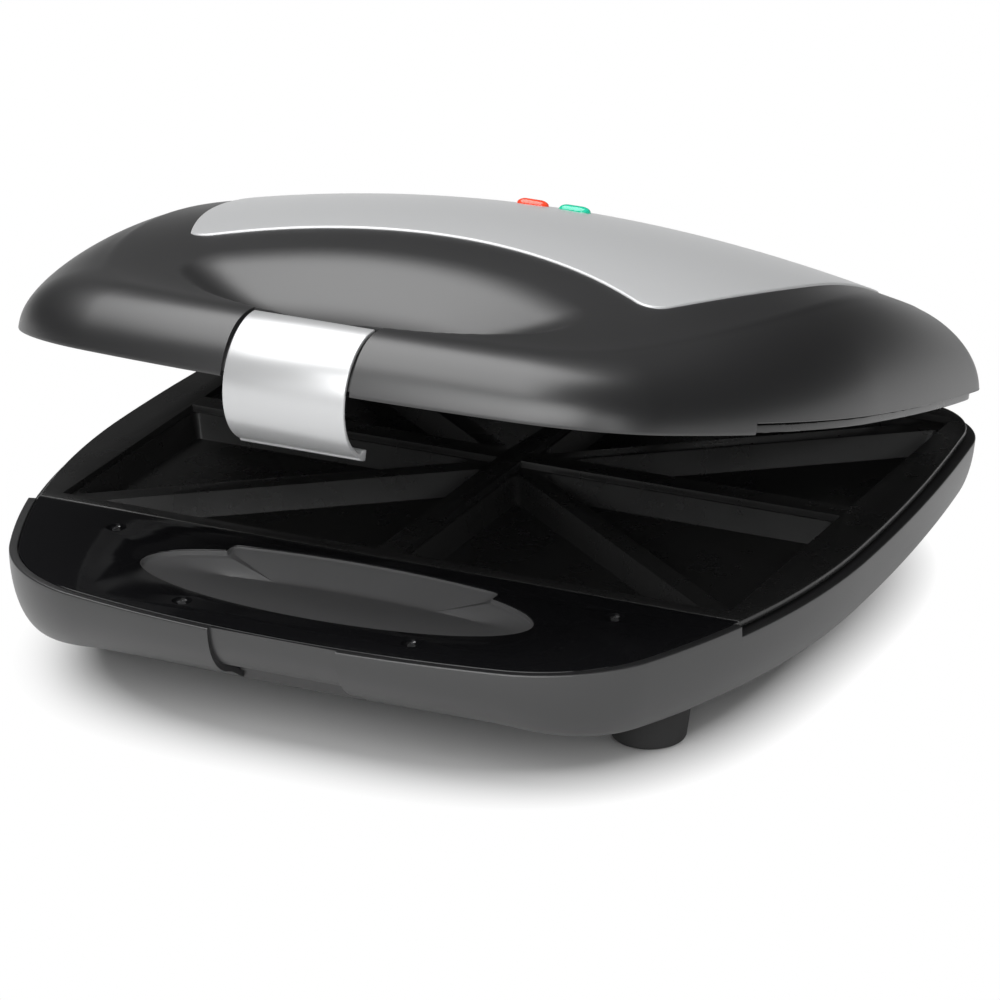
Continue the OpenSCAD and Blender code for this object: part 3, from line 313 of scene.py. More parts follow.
steps = [np.arange(n) / n for n in (44, 26, 46, 34, 18, 20)]
frontR, cornerR, sideR = (toaster[k] for k in ("frontR", "frontCornerR", "sideFrontR"))
cFront = np.array([0, frontR + toaster["frontY"]])
cSide = np.array([halfWidth - sideR, toaster["widestY"]])
cCorner = crossOf(cFront, frontR - cornerR, cSide, sideR - cornerR, 1)
# two close columns at the seam make the step in the rim crisp
sideStart = angleOf(cCorner - cSide)
seamSteps = [1 - degrees(asin((toaster["seamY"] + d - cSide[1]) / sideR)) / sideStart for d in (-0.25, 0.25)]
steps[2] = np.sort(np.append(steps[2], seamSteps))
# and the channel for the clip has its own columns
frontStart, frontEnd = -90, angleOf(cCorner - cFront)
channelStep = degrees(asin(toaster["channelHalf"] / frontR)) / (frontEnd - frontStart)
steps[0] = np.sort(np.append(steps[0], [channelStep - 0.004, channelStep]))


def closedLine(frontArcs, half, widestY, rearY, cornerR):
    # the right half, its rear arcs made here, and its mirror image
    sideR, rearR = toaster["sideRearR"], toaster["rearR"]
    side, rear = np.array([half - sideR, widestY]), np.array([0, rearY - rearR])
    corner = crossOf(rear, rearR - cornerR, side, sideR - cornerR, -1)
    a, b = angleOf(corner - side), angleOf(corner - rear)
    right = np.vstack([*frontArcs, arcLine(side, sideR, 0, a, steps[3]), arcLine(corner, cornerR, a, b, steps[4]),
                       arcLine(rear, rearR, b, 90, steps[5]), [[0, rearY, 0, 1]]])
    return np.vstack([right, right[-2:0:-1] * [-1, 1, -1, 1]])


casingLine = closedLine([
    arcLine(cFront, frontR, frontStart, frontEnd, steps[0]),
    arcLine(cCorner, cornerR, frontEnd, sideStart, steps[1]),
    arcLine(cSide, sideR, sideStart, 0, steps[2])],
    halfWidth, toaster["widestY"], toaster["rearY"], toaster["rearCornerR"])
edgePlace, edgeOut = casingLine[:, :2], casingLine[:, 2:]
columns = len(casingLine)

insert = {"half": 129, "frontY": 42, "frontR": 196, "widestY": 125, "rearY": 232, "sideR": 260, "cornerR": 9,
          "rearCornerR": 26, "thick": 1.8, "proud": 0.7, "bevel": 0.9, "seatGap": 0.25}
jFront = np.array([0, insert["frontY"] - insert["frontR"]])
jSide = np.array([insert["half"] - insert["sideR"], insert["widestY"]])
jCorner = crossOf(jFront, insert["frontR"] + insert["cornerR"], jSide, insert["sideR"] - insert["cornerR"], -1)
insertLine = closedLine([
    arcLine(jFront, insert["frontR"], 90, angleOf(jCorner - jFront), steps[0], -1),
    arcLine(jCorner, insert["cornerR"], angleOf(jFront - jCorner), angleOf(jCorner - jSide), steps[1]),
    arcLine(jSide, insert["sideR"], angleOf(jCorner - jSide), 0, steps[2])],
    insert["half"], insert["widestY"], insert["rearY"], insert["rearCornerR"])
insertPlace, insertOut = insertLine[:, :2], insertLine[:, 2:]

# How much each column belongs to the front, and whether it is behind the seam, where the rim is lower
frontPart = np.maximum(0, -edgeOut[:, 1]) ** 2 * np.maximum(0, 1 - (edgePlace[:, 0] / toaster["frontFade"]) ** 2)
atSide = (edgePlace[:, 1] > toaster["seamY"]).astype(float)

lid = {"domeHeight": 62.8, "domeY": 124.6, "fallX": 8.1, "fallY": 12.6, "fill": 1.1, "shoulder": 38, "power": 2.2,
       "scoopHalf": 92, "scoopLip": 22.2, "scoopLipR": 100, "scoopRearR": 180, "scoopFall": 0.65, "scoopRise": 0.35,
       "scoopDeep": 14, "soft": 10, "rearSoft": 8, "deepSoft": 4, "crownBlend": 18, "edge": 0.6}


def softMax(a, b, k):
    h = np.maximum(k - np.abs(a - b), 0) / k
    return np.maximum(a, b) + h * h * k / 4


def domeAt(q):
    u, v = (q[..., 0] / 100) ** 2, ((q[..., 1] - lid["domeY"]) / 100) ** 2
    return lid["domeHeight"] - lid["fallX"] * u - lid["fallY"] * v + lid["fill"] * u * v


lipCentre = np.array([0, lid["scoopLip"] + toaster["frontY"] + lid["scoopLipR"]])
lipEndY = lipCentre[1] - sqrt(lid["scoopLipR"] ** 2 - lid["scoopHalf"] ** 2)
rearCentre = np.array([0, lipEndY - sqrt(lid["scoopRearR"] ** 2 - lid["scoopHalf"] ** 2)])


def insertRing(inset, rise, f=0.0):
    # the insert's outline moved in, then f of the way to its middle, laid on the dome
    edge = insertPlace - insertOut * inset
    q = edge + (np.array([0, lid["domeY"]]) - edge) * f
    return lifted(q, domeAt(q) + rise)


def scoopAt(q):
    a = lid["scoopLipR"] - norm(q - lipCentre, axis=-1)
    b = lid["scoopRearR"] - norm(q - rearCentre, axis=-1)
    valley = softMax(-lid["scoopFall"] * a, -lid["scoopRise"] * softMax(b, 0, lid["rearSoft"]), lid["soft"])
    return np.maximum(0, -softMax(valley, -lid["scoopDeep"], lid["deepSoft"]))


def lidHeight(q, inset, shoulder):
    u = np.maximum(0, 1 - inset / shoulder)
    crown = softMax(domeAt(q), toaster["noseR"], lid["crownBlend"])
    return crown * (1 - u ** lid["power"]) ** (1 / lid["power"]) - scoopAt(q)


# Mesh helpers

def addObject(name, mesh):
    obj = bpy.data.objects.new(name, mesh)
    scene.collection.objects.link(obj)
    return obj


def addMesh(name, points, faces):
    mesh = bpy.data.meshes.new(name)
    mesh.from_pydata(np.asarray(points, float).tolist(), [], faces)
    mesh.update()
    return addObject(name, mesh)


def ringMesh(name, rings, place):
    # rings run from the middle of the underside out, up and back to the top's middle; both ends close in a fan
    rings = place(np.asarray(rings, float))
    count, n = rings.shape[:2]
    i = np.arange(n)
    j = (i + 1) % n
    faces = []
    for k in range(0, (count - 1) * n, n):
        faces += np.stack([k + i, k + j, k + n + j, k + n + i], 1).tolist()
    faces += [[a, count * n, b] for a, b in zip(j.tolist(), i.tolist())]
    top = (count - 1) * n
    faces += [[top + a, top + b, count * n + 1] for a, b in zip(i.tolist(), j.tolist())]
    points = np.vstack([rings.reshape(-1, 3), rings[0].mean(0), rings[-1].mean(0)])
    return addMesh(name, points, faces)


def lifted(places, z):
    return np.column_stack([places, np.broadcast_to(z, len(places))])


def circle(x, y, r, count=32):
    return [(x + r * cos(t), y + r * sin(t)) for t in np.linspace(0, 2 * pi, count, endpoint=False)]


def settled(obj):
    # the object as its modifiers leave it, as a plain mesh
    bpy.context.view_layer.update()
    mesh = bpy.data.meshes.new_from_object(obj.evaluated_get(bpy.context.evaluated_depsgraph_get()))
    obj.modifiers.clear()
    obj.data = mesh
    return obj


def combined(obj, other, operation="DIFFERENCE"):
    tool = obj.modifiers.new("shape", "BOOLEAN")
    tool.operation, tool.object, tool.solver = operation, other, "EXACT"
    settled(obj)
    bpy.data.objects.remove(other)


def bevelled(obj, width, segments, angle, edgeSlot=-1):
    cleaned(obj)
    round_ = obj.modifiers.new("edges", "BEVEL")
    round_.width, round_.segments, round_.limit_method = width / 1000, segments, "ANGLE"
    round_.angle_limit, round_.material, round_.use_clamp_overlap = radians(angle), edgeSlot, True
    return settled(obj)


def cleaned(obj):
    work = bmesh.new()
    work.from_mesh(obj.data)
    bmesh.ops.remove_doubles(work, verts=work.verts, dist=2e-6)
    bmesh.ops.recalc_face_normals(work, faces=work.faces)
    work.to_mesh(obj.data)
    work.free()
    return obj


def joined(obj, *others):
    work = bmesh.new()
    for part in (obj, *others):
        work.from_mesh(part.data)
    work.to_mesh(obj.data)
    work.free()
    for part in others:
        bpy.data.objects.remove(part)


def block(low, high, place):
    (x0, y0, z0), (x1, y1, z1) = low, high
    corners = [(x, y, z) for z in (z0, z1) for x, y in ((x0, y0), (x1, y0), (x1, y1), (x0, y1))]
    faces = [(3, 2, 1, 0), (4, 5, 6, 7), (0, 1, 5, 4), (1, 2, 6, 5), (2, 3, 7, 6), (3, 0, 4, 7)]
    return addMesh("block", place(np.array(corners, float)), faces)


def prism(outline, low, high, place, axis=2, lowerOutline=None):
    # a straight solid on an outline; axis 0 takes the outline in y and z and runs along x
    upper = np.asarray(outline, float)
    lower = upper if lowerOutline is None else np.asarray(lowerOutline, float)
    points = np.vstack([lifted(lower, low), lifted(upper, high)])
    if axis == 0:
        points = points[:, [2, 0, 1]]
    n = len(upper)
    faces = [list(range(n - 1, -1, -1)), list(range(n, 2 * n))]
    faces += [[i, (i + 1) % n, n + (i + 1) % n, n + i] for i in range(n)]
    return cleaned(addMesh("prism", place(points), faces))


def dressed(obj, name, body, look, slot, *replaced, sharp=38, edgeLook=None):
    obj.name = obj.data.name = name
    slots = obj.data.materials
    if edgeLook is None:
        slots.clear()
        for face in obj.data.polygons:
            face.material_index = 0
    while slots:  # popped one by one, the faces keep their slots
        slots.pop()
    slots.append(looks[look])
    if edgeLook:
        slots.append(looks[edgeLook])
    obj.data.shade_smooth()
    obj.data.set_sharp_from_angle(angle=radians(sharp))
    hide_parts(*replaced)
    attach(obj, body)


# Hinge knuckles, shared by the casings

hinge = {"x": 112, "radius": 9, "lidWidth": 15, "baseWidth": 12, "gap": 0.4, "round": 0.5,
         "leadX": 7.1, "leadWidth": 13.8, "leadRadius": 6.2, "leadArm": 15}


def knuckle(x, width, radius, arm, up, place, axisZ=0):
    # its arm to the back wall is below the axis for the base, above it for the lid
    front = toaster["rearY"] - toaster["wall"] - 1
    back = toaster["hingeY"]
    outline = [(front, -arm)] + [(back, -arm)] * (arm > radius)
    outline += [(back + radius * cos(a), radius * sin(a)) for a in np.radians(np.linspace(-90, 90, 25))]
    outline += [(back - radius * sin(a), radius * cos(a)) for a in np.radians(np.linspace(5, 85, 12))]
    outline += [(back - radius, 0), (front, 0)]
    if up:
        outline = [(y, -z) for y, z in outline[::-1]]
    solid = prism([(y, axisZ + z) for y, z in outline], x - width / 2, x + width / 2, place, axis=0)
    return bevelled(solid, hinge["round"], 2, 40)


# Base casing

base = {"deep": 34, "sideIn": 14, "frontTurn": 72, "sideTurn": 75, "floorFront": 34, "floorSide": 19, "rim": 3.6,
        "ledge": 8, "ledgeDeep": 2.05, "edge": 0.7, "catchBack": 5.5, "footX": 120.3, "footY": (-1, 228),
        "footZ": -56.5, "ventX": range(-36, 37, 12), "ventY": (46, 80), "ventR": 1.5}


def makeBase():
    side, w = atSide, frontPart
    a = base["sideIn"] + (toaster["noseR"] - base["sideIn"]) * w
    h = base["deep"] + (toaster["noseR"] - base["deep"]) * w
    turn = np.radians(base["sideTurn"] + (base["frontTurn"] - base["sideTurn"]) * w)
    rimZ = -toaster["sideDrop"] * side
    start = np.arcsin(-rimZ / h)
    e = base["edge"]

    def at(inset, z):
        return lifted(edgePlace - edgeOut * np.broadcast_to(inset, columns)[:, None], z)

    def roll(f, inner=0.0):
        t = start + (turn - start) * f
        return a * (1 - np.cos(t)) + inner * np.cos(t), -h * np.sin(t) + inner * np.sin(t)

    floorIn = base["floorSide"] + (base["floorFront"] - base["floorSide"]) * w
    endIn, endZ = roll(1)
    floorZ, wall = -base["deep"], toaster["wall"]
    rings = [at(floorIn + 12, floorZ), at(floorIn + 1, floorZ)]
    for f in (0.12, 0.35, 0.6, 0.82):  # the bottom's soft turn into the wall
        s = f * f * (3 - 2 * f)
        rings.append(at(floorIn + 1 + (endIn - floorIn - 1) * f, floorZ + (endZ - floorZ) * (0.5 * f + 0.5 * s)))
    rings += [at(*roll(f)) for f in np.linspace(1, 0, 16)[:-1]]
    topIn = roll(0)[0]
    rings += [at(topIn + e * k, rimZ - e * m) for k, m in ((0, 1), (0.06, 0.62), (0.3, 0.27), (0.65, 0.06), (1, 0))]
    inner, ledge = base["rim"], base["ledge"]
    ledgeZ = np.where(side, rimZ, -base["ledgeDeep"])
    rings += [at(np.where(side, inner - 0.2, inner - 0.3), rimZ),
              at(np.where(side, inner + 0.4, inner), rimZ - np.where(side, 0, 0.3)),
              at(np.where(side, 5, inner), ledgeZ), at(np.where(side, 7, ledge), ledgeZ), at(ledge, -5.5)]
    rings += [at(roll(f, wall)[0], np.maximum(roll(f, wall)[1], wall + floorZ)) for f in (0.5, 0.75, 1)]
    rings += [at(floorIn + wall / 2, wall + floorZ)]
    shell = ringMesh("shell", rings, onBase)
    c = toaster["channelHalf"]
    combined(shell, block((-c, toaster["frontY"] - 1, floorZ - 6), (c, noseY + base["catchBack"], 5), onBase))
    r = base["ventR"]
    for x in base["ventX"]:
        slot = [(px, py + base["ventY"][py > 0]) for px, py in circle(x, 0, r, 16)]
        combined(shell, prism(slot, floorZ - 2, floorZ + 4, onBase))
    r, beside = hinge["radius"], hinge["lidWidth"] / 2 + hinge["gap"] + hinge["baseWidth"] / 2
    parts = [knuckle(sign * hinge["x"] + way * beside, hinge["baseWidth"], r, r, False, onBase)
             for sign in (-1, 1) for way in (-1, 1)]
    parts.append(knuckle(-hinge["leadX"], hinge["leadWidth"], hinge["leadRadius"], hinge["leadArm"], False, onBase))
    joined(shell, *parts)
    dressed(shell, "baseCasing", "base", "casing", "casing", "base_casing", sharp=30)


makeBase()
print("base casing made")


# Lid casing

def makeLid():
    shoulder = lid["shoulder"] + (toaster["noseR"] - lid["shoulder"]) * frontPart
    rimZ = toaster["sideDrop"] * atSide
    low, high = np.zeros(columns), np.full(columns, 12.0)
    for _ in range(40):  # the inset at which each column's skin leaves the rim
        mid = (low + high) / 2
        z = lidHeight(edgePlace - edgeOut * mid[:, None], mid, shoulder)
        low, high = np.where(z < rimZ, mid, low), np.where(z < rimZ, high, mid)
    first = np.where(atSide > 0, (low + high) / 2, 0)
    deep = 30  # from here in, the skin runs straight to the insert
    start = edgePlace - edgeOut * deep
    end = insertPlace + insertOut * 0.3
    skin = []
    for f in np.linspace(0, 1, 30) ** 2.1:
        inset = first + (deep - first) * f
        q = edgePlace - edgeOut * inset[:, None]
        skin.append(lifted(q, np.maximum(lidHeight(q, inset, shoulder), rimZ)))
    for f in np.linspace(0, 1, 50)[1:]:
        q = start + (end - start) * f
        skin.append(lifted(q, lidHeight(q, deep + norm(q - start, axis=1), shoulder)))
    skin = np.array(skin)
    wall = toaster["wall"]

    def inward(k):
        a, b = skin[max(k - 3, 0)], skin[min(k + 3, len(skin) - 1)]
        d = b - a
        run = norm(d[:, :2], axis=1)
        way, slope = d[:, :2] / run[:, None], np.arctan2(d[:, 2], run)
        return lifted(skin[k][:, :2] + way * (wall * np.sin(slope))[:, None],
                      np.maximum(skin[k][:, 2] - wall * np.cos(slope), rimZ + 0.2 * (k > 0)))

    def rimAt(inset, rise=0.0): return lifted(skin[0][:, :2] - edgeOut * inset, rimZ + rise)

    rimIn = rimAt(wall)
    inner = [inward(k) for k in range(len(skin) - 2, 8, -7)] + [rimIn + [0, 0, 2.5], rimIn]
    gap = insert["seatGap"]
    seat = insert["thick"] - insert["proud"] + gap
    toMiddle = [1 - (1 - j / 4) ** 1.3 for j in (0, 1, 2, 3)]
    edge = lid["edge"]
    rimOut = [rimAt(1.6), rimAt(edge), rimAt(edge / 4, edge / 4)]
    skin[0][:, 2] += edge
    rings = [insertRing(2.3, -(seat + wall), f) for f in toMiddle[::-1]] + inner + rimOut + list(skin)
    rings += [lifted(insertPlace + insertOut * gap, skin[-1][:, 2] - 0.2)]
    rings += [insertRing(-gap, -seat, f) for f in toMiddle]
    shell = ringMesh("shell", rings, onLid)
    c = toaster["channelHalf"]
    combined(shell, block((-c, toaster["frontY"] - 1, -1), (c, noseY - 1.2, 30), onLid))
    r, lead, axisZ = hinge["radius"], hinge["leadRadius"], -toaster["lidGap"]
    parts = [knuckle(s * hinge["x"], hinge["lidWidth"], r, r, True, onLid, axisZ) for s in (-1, 1)]
    parts.append(knuckle(hinge["leadX"], hinge["leadWidth"], lead, hinge["leadArm"], True, onLid, axisZ))
    joined(shell, *parts)
    dressed(shell, "lidCasing", "lid", "casing", "casing", "lid_casing", sharp=30)


makeLid()
print("lid casing made")


# Silver insert and its two lenses

lenses = {"half": 7.2, "halfWidth": 3.4, "x": 9.7, "y": 144.7, "gap": 0.25, "rise": 2.4}
lensTop = float(domeAt(np.array([lenses["x"], lenses["y"]])))


def lozenge(grow):
    r = lenses["halfWidth"] + grow
    reach = lenses["half"] - lenses["halfWidth"]
    turn = np.radians(np.linspace(-90, 90, 24))
    right = np.column_stack([reach + r * np.cos(turn), r * np.sin(turn)])
    return np.vstack([right, -right])


def makeInsert():
    b, proud = insert["bevel"], insert["proud"]
    low = proud - insert["thick"]
    rings = [insertRing(1, low, f) for f in (0.9, 0.6, 0.3)] + [insertRing(0, z) for z in (low, proud - b)]
    rings += [insertRing(b * (1 - cos(t)), proud - b + b * sin(t)) for t in np.radians((20, 40, 60, 78))]
    rings += [insertRing(b + 0.1, proud, f) for f in 1 - np.linspace(1, 0.04, 26)]
    plate = ringMesh("plate", rings, onLid)
    for s in (-1, 1):
        hole = lozenge(lenses["gap"]) + [s * lenses["x"], lenses["y"]]
        combined(plate, prism(hole, lensTop - 6, lensTop + 6, onLid))
    dressed(plate, "silverInsert", "lid", "silver", "silver_insert", "lid_insert", sharp=50)


def makeLens(side, name, look, node):
    outline = lozenge(0)
    centre = np.array([side * lenses["x"], lenses["y"]])
    top = insert["proud"] + lensTop
    profile = [(1.0, -7, 1.1), (1.0, -5.4, 1.1), (1.0, -5.3, 0)]
    rings = [lifted(outline * 0.6 + centre, lensTop - 7)]
    rings += [lifted(lozenge(grow) * k + centre, lensTop + z) for k, z, grow in profile]
    rings += [lifted(outline + centre, top - 0.1)]
    for t in np.radians((0, 12, 24, 36, 48, 60, 70, 79, 86)):
        rings.append(lifted(outline * [0.45 + 0.55 * cos(t), cos(t)] + centre, top + lenses["rise"] * sin(t)))
    dressed(ringMesh("lens", rings, onLid), name, "lid", look, node, node, sharp=60)


makeInsert()
makeLens(-1, "redLens", "redLens", "red_lens")
makeLens(1, "greenLens", "greenLens", "green_lens")
print("insert and lenses made")


# Spring clip

clip = {"half": 26.5, "thick": 1.8, "top": 80, "bottom": -78, "hookIn": 1.8, "hookOut": 0.9, "hookTurn": 13,
        "round": 0.45, "pivot": (noseY - 5.5, toaster["noseR"] - 6.4), "lugX": 19, "lugWidth": 4, "lugR": 3,
        "lugRear": 1, "lugLean": 15, "pinR": 1.55}


def nosePoint(r, a):
    return (noseY - r * cos(radians(a)), r * sin(radians(a)))


def makeClip():
    r1, r0 = toaster["noseR"], toaster["noseR"] - clip["thick"]
    low, foot = clip["bottom"], clip["bottom"] - clip["hookTurn"]
    hookOut, hookIn = r1 + clip["hookOut"], r0 - clip["hookIn"]
    outline = [nosePoint(r1, a) for a in np.linspace(clip["top"], low, 64)]
    outline += [nosePoint(r1 + clip["hookOut"] * 0.6, low - 1.2), nosePoint(hookOut, low - 2.5)]
    outline += [nosePoint(hookOut, a) for a in np.linspace(low - 4, foot, 5)]
    outline += [nosePoint(hookIn, a) for a in np.linspace(foot, low - 4, 5)]
    outline += [nosePoint(r0 - clip["hookIn"] * 0.7, low - 2), nosePoint(r0 - 0.3, low - 0.6)]
    outline += [nosePoint(r0, a) for a in np.linspace(low + 0.4, clip["top"], 64)]
    strap = bevelled(prism(outline[::-1], -clip["half"], clip["half"], onLid, axis=0), clip["round"], 3, 30)
    py, pz = clip["pivot"]
    reach = r0 - hypot(py - noseY, pz) + 0.8
    lean, r, half = radians(clip["lugLean"]), clip["lugR"], clip["lugWidth"] / 2
    way = np.array([sin(lean), cos(lean)])
    off = np.array([way[1], -way[0]])
    rear = clip["lugRear"]
    arm = [np.array([py, pz]) + off * k + way * m for k, m in ((-r, 0), (rear, 0), (rear, reach), (-r, reach))]
    lugs = []
    for x in (-clip["lugX"], clip["lugX"]):
        eye = prism(circle(py, pz, r), x - half, x + half, onLid, axis=0)
        combined(eye, prism(arm, x - half, x + half, onLid, axis=0), "UNION")
        combined(eye, prism(circle(py, pz, clip["pinR"]), x - half - 1, x + half + 1, onLid, axis=0))
        lugs.append(eye)
    joined(strap, *lugs)
    dressed(strap, "frontClip", "clip", "clip", "clip_silver", "clip", sharp=35)


makeClip()
print("clip made")


# Gloss panels, recess trays and cooking plates: one of each on the base, the same turned over in the lid

deck = {"panelIn": 4, "panelThick": 2, "panelRound": 0.35, "seamGap": 0.3,
        "recessHalf": 87, "recessHalfWidth": 29.6, "recessY": -42, "pocketHalf": 60, "pocketY": -9, "pocketR": 362,
        "dishRim": 2.4, "dishDeep": 9, "creaseHalf": 52, "creaseBack": 13.5,
        "flangeIn": 4.2, "flangeThick": 3.5, "flangeRound": 0.7, "plateThick": 3, "wellDeep": 13, "wellLean": 5,
        "fieldHalf": 151, "fieldFront": 7, "fieldLength": 243, "dividerWidth": 11, "ridgeWidth": 7, "ridgeDeep": 3,
        # the plates' rounded edges, this wide, carry the painted highlight
        "highlightEdge": 0.9, "screws": ((112.4, -17.8), (51, -76.5)), "screwZ": -0.15, "sinkR": 4.15, "sinkZ": -1.4,
        "plateScrewX": 52, "plateScrewZ": -33.8}
fieldRear = deck["fieldFront"] + deck["fieldLength"]
fieldMiddle = deck["fieldFront"] + deck["fieldLength"] / 2
screwPlaces = [(s * x, y) for s in (-1, 1) for x, y in deck["screws"]]


def turnedOver(points):
    return onLid(np.asarray(points, float) * [1, 1, -1])


def clippedOutline(inset, front):
    # the casing's outline moved in, on one side of the seam
    places = edgePlace - edgeOut * inset
    n = len(places)
    limit = deck["seamGap"] / 2 * (-1 if front else 1)
    keep = []
    for k in range(n):
        a, b = places[k], places[(k + 1) % n]
        inA, inB = (a[1] < limit) == front, (b[1] < limit) == front
        if inA:
            keep.append(a)
        if inA != inB:
            keep.append(a + (b - a) * (limit - a[1]) / (b[1] - a[1]))
    return np.array(keep)


def pocketEdge(x):
    return deck["pocketY"] - x * x / (2 * deck["pocketR"])


def recessOutline(grow):
    a, b = deck["recessHalf"] + grow, deck["recessHalfWidth"] + grow
    w = deck["pocketHalf"] + grow
    start = acos(-sqrt(1 - (w / a) ** 2))  # where the oval meets the pocket's side, from the oval's front
    turn = np.linspace(-start, start, 120)
    oval = np.column_stack([a * np.sin(turn), deck["recessY"] - b * np.cos(turn)])
    top = pocketEdge(w) + grow
    corner = [(w + 0.1, oval[-1, 1] + 0.6 * (top - oval[-1, 1])), (w - 0.4, top - 0.9), (w - 1.6, top + 0.1)]
    xs = np.linspace(w - 3, 3 - w, 40)
    rear = np.column_stack([xs, pocketEdge(xs) + grow])
    left = [(-x, y) for x, y in corner[::-1]]
    return np.vstack([oval, corner, rear, left])


def sheetOf(loops, low, high, rounding, place):
    # a flat sheet between two levels with rounded edges; the first loop is the outside, the others are holes
    work = bmesh.new()
    for loop in loops:
        verts = [work.verts.new((*p, low)) for p in loop]
        for k in range(len(verts)):
            work.edges.new((verts[k], verts[(k + 1) % len(verts)]))
    bmesh.ops.triangle_fill(work, edges=work.edges, use_beauty=True)
    bmesh.ops.dissolve_limit(work, angle_limit=0.01, verts=[], edges=work.edges)
    top = bmesh.ops.extrude_face_region(work, geom=list(work.faces))
    raised = [v for v in top["geom"] if isinstance(v, bmesh.types.BMVert)]
    bmesh.ops.translate(work, verts=raised, vec=(0, 0, high - low))
    bmesh.ops.recalc_face_normals(work, faces=work.faces)
    for v in work.verts:
        v.co = Vector(place(np.array(v.co, float)).tolist())
    mesh = bpy.data.meshes.new("sheet")
    work.to_mesh(mesh)
    work.free()
    return bevelled(addObject("sheet", mesh), rounding, 3, 40)


def makePanel(name, body, node, place):
    loops = [clippedOutline(deck["panelIn"], True), recessOutline(-0.05)]
    sheet = sheetOf(loops, -deck["panelThick"], 0, deck["panelRound"], place)
    for x, y in screwPlaces:
        combined(sheet, prism(circle(x, y, deck["sinkR"]), deck["sinkZ"], 0.5, place))
    dressed(sheet, name, body, "panel", "gloss_panel", node)


def makeTray(name, body, node, place):
    edge = recessOutline(-0.1)
    rear = (np.abs(edge[:, 0]) < deck["pocketHalf"] - 0.2) & (edge[:, 1] > deck["recessY"])
    half = deck["creaseHalf"]
    creaseX = np.where(rear, edge[:, 0] * half / deck["pocketHalf"],
                       np.clip(edge[:, 0] * half / deck["recessHalf"], -half, half))
    crease = np.column_stack([creaseX, pocketEdge(creaseX) - deck["creaseBack"]])
    deep, rim = deck["dishDeep"], deck["dishRim"]

    def at(grow, atRear, atRim):
        return lifted(recessOutline(grow), np.where(rear, atRear, atRim))

    rings = [lifted(crease, -deep - 2.0), lifted(crease + (recessOutline(1.9) - crease) * 0.5, -0.5 * (deep + 6))]
    rings += [at(grow, z, z) for grow, z in ((1.9, -4.0), (1.9, -2.1), (0.1, -2.1), (-0.1, -2.0), (-0.1, -0.5))]
    rings += [at(-0.35, -0.55, -0.45), at(-0.5, -0.8, -0.6), at(-0.7, -1.1, 0.5 - rim), at(-1.15, -1.4, 0.12 - rim)]
    inside = recessOutline(-1.75)
    for f in (0.0, 0.12, 0.25, 0.4, 0.55, 0.7, 0.82, 0.9, 0.95, 0.98):
        # the dish falls evenly to the crease, the pocket's rear wall leans to it
        soft = 0.35 * max(0, (f - 0.82) / 0.18) ** 2
        fall = np.where(rear, -1.7 - (deep - 1.7) * f, -rim - (deep - rim) * f)
        rings.append(lifted(inside + (crease - inside) * f, fall + soft))
    dressed(ringMesh("tray", rings, place), name, body, "tray", "tray", node, sharp=30)


def wellTriangles():
    inner, outer = deck["dividerWidth"] / 2, deck["fieldHalf"]
    found = []
    for near, far in ((fieldMiddle - inner, deck["fieldFront"]), (fieldMiddle + inner, fieldRear)):
        for corner in ((outer, near), (inner, far)):
            corner, p, q = np.array(corner), np.array((outer, far)), np.array((inner, near))
            a, b = p - corner, q - corner
            high = norm(a) * norm(b) / norm(a - b)
            k = 1 - deck["ridgeWidth"] / 2 / high
            a, b = (a, b) if a[0] * b[1] > a[1] * b[0] else (b, a)
            found.append(np.array([corner, corner + a * k, corner + b * k]))
    return found + [t[[0, 2, 1]] * [-1, 1] for t in found]


def shrunk(t, e, soften):
    # a triangle with each side moved in by e, its corners rounded
    sides = [norm(t[k - 2] - t[k - 1]) for k in range(3)]
    total = sum(sides)
    centre = (t[0] * sides[0] + t[1] * sides[1] + t[2] * sides[2]) / total
    r = sides[1] * sides[2] / total
    t = centre + (t - centre) * (1 - e / r)
    points = []
    for k in range(3):
        p, before, after = t[k], t[k - 1] - t[k], t[(k + 1) % 3] - t[k]
        before, after = before / norm(before), after / norm(after)
        half = acos(np.clip(before @ after, -1, 1)) / 2
        reach = min(soften / np.tan(half), 11)
        a, b = p + before * reach, p + after * reach
        for s in np.linspace(0, 1, 7):
            points.append((1 - s) ** 2 * a + 2 * s * (1 - s) * p + s * s * b)
    return np.array(points)


def makePlate(name, body, node, place):
    slab = sheetOf([clippedOutline(deck["flangeIn"], False)], -deck["flangeThick"], 0, deck["flangeRound"], place)
    half, deep, thick, lean = deck["dividerWidth"] / 2, deck["wellDeep"], deck["plateThick"], deck["wellLean"]
    wells = wellTriangles()
    for t in wells:
        cup = prism(shrunk(t, -thick, 6), -deep - thick, -deck["flangeThick"] / 2, place,
                    lowerOutline=shrunk(t, lean - thick, 6))
        combined(slab, cup, "UNION")
    for s in (-1, 1):
        low, high = sorted((s * half, s * deck["fieldHalf"]))
        for y0, y1 in ((deck["fieldFront"], fieldMiddle - half), (fieldMiddle + half, fieldRear)):
            combined(slab, block((low, y0, -deck["ridgeDeep"]), (high, y1, 5), place))
    over = 0.4  # the cutters reach this far above the deck
    for t in wells:
        mouth = shrunk(t, -lean * over / deep, 3.5)
        combined(slab, prism(mouth, -deep, over, place, lowerOutline=shrunk(t, lean, 2.5)))
    slab.data.materials.append(looks["coating"])
    slab.data.materials.append(looks["coatingEdge"])
    for face in slab.data.polygons:
        face.material_index = 0
    # the rounded edges take the second finish, lighter in patches: a painted highlight along the plate's edges
    bevelled(slab, deck["highlightEdge"], 3, 30, edgeSlot=1)
    dressed(slab, name, body, "coating", "nonstick", node, sharp=60, edgeLook="coatingEdge")


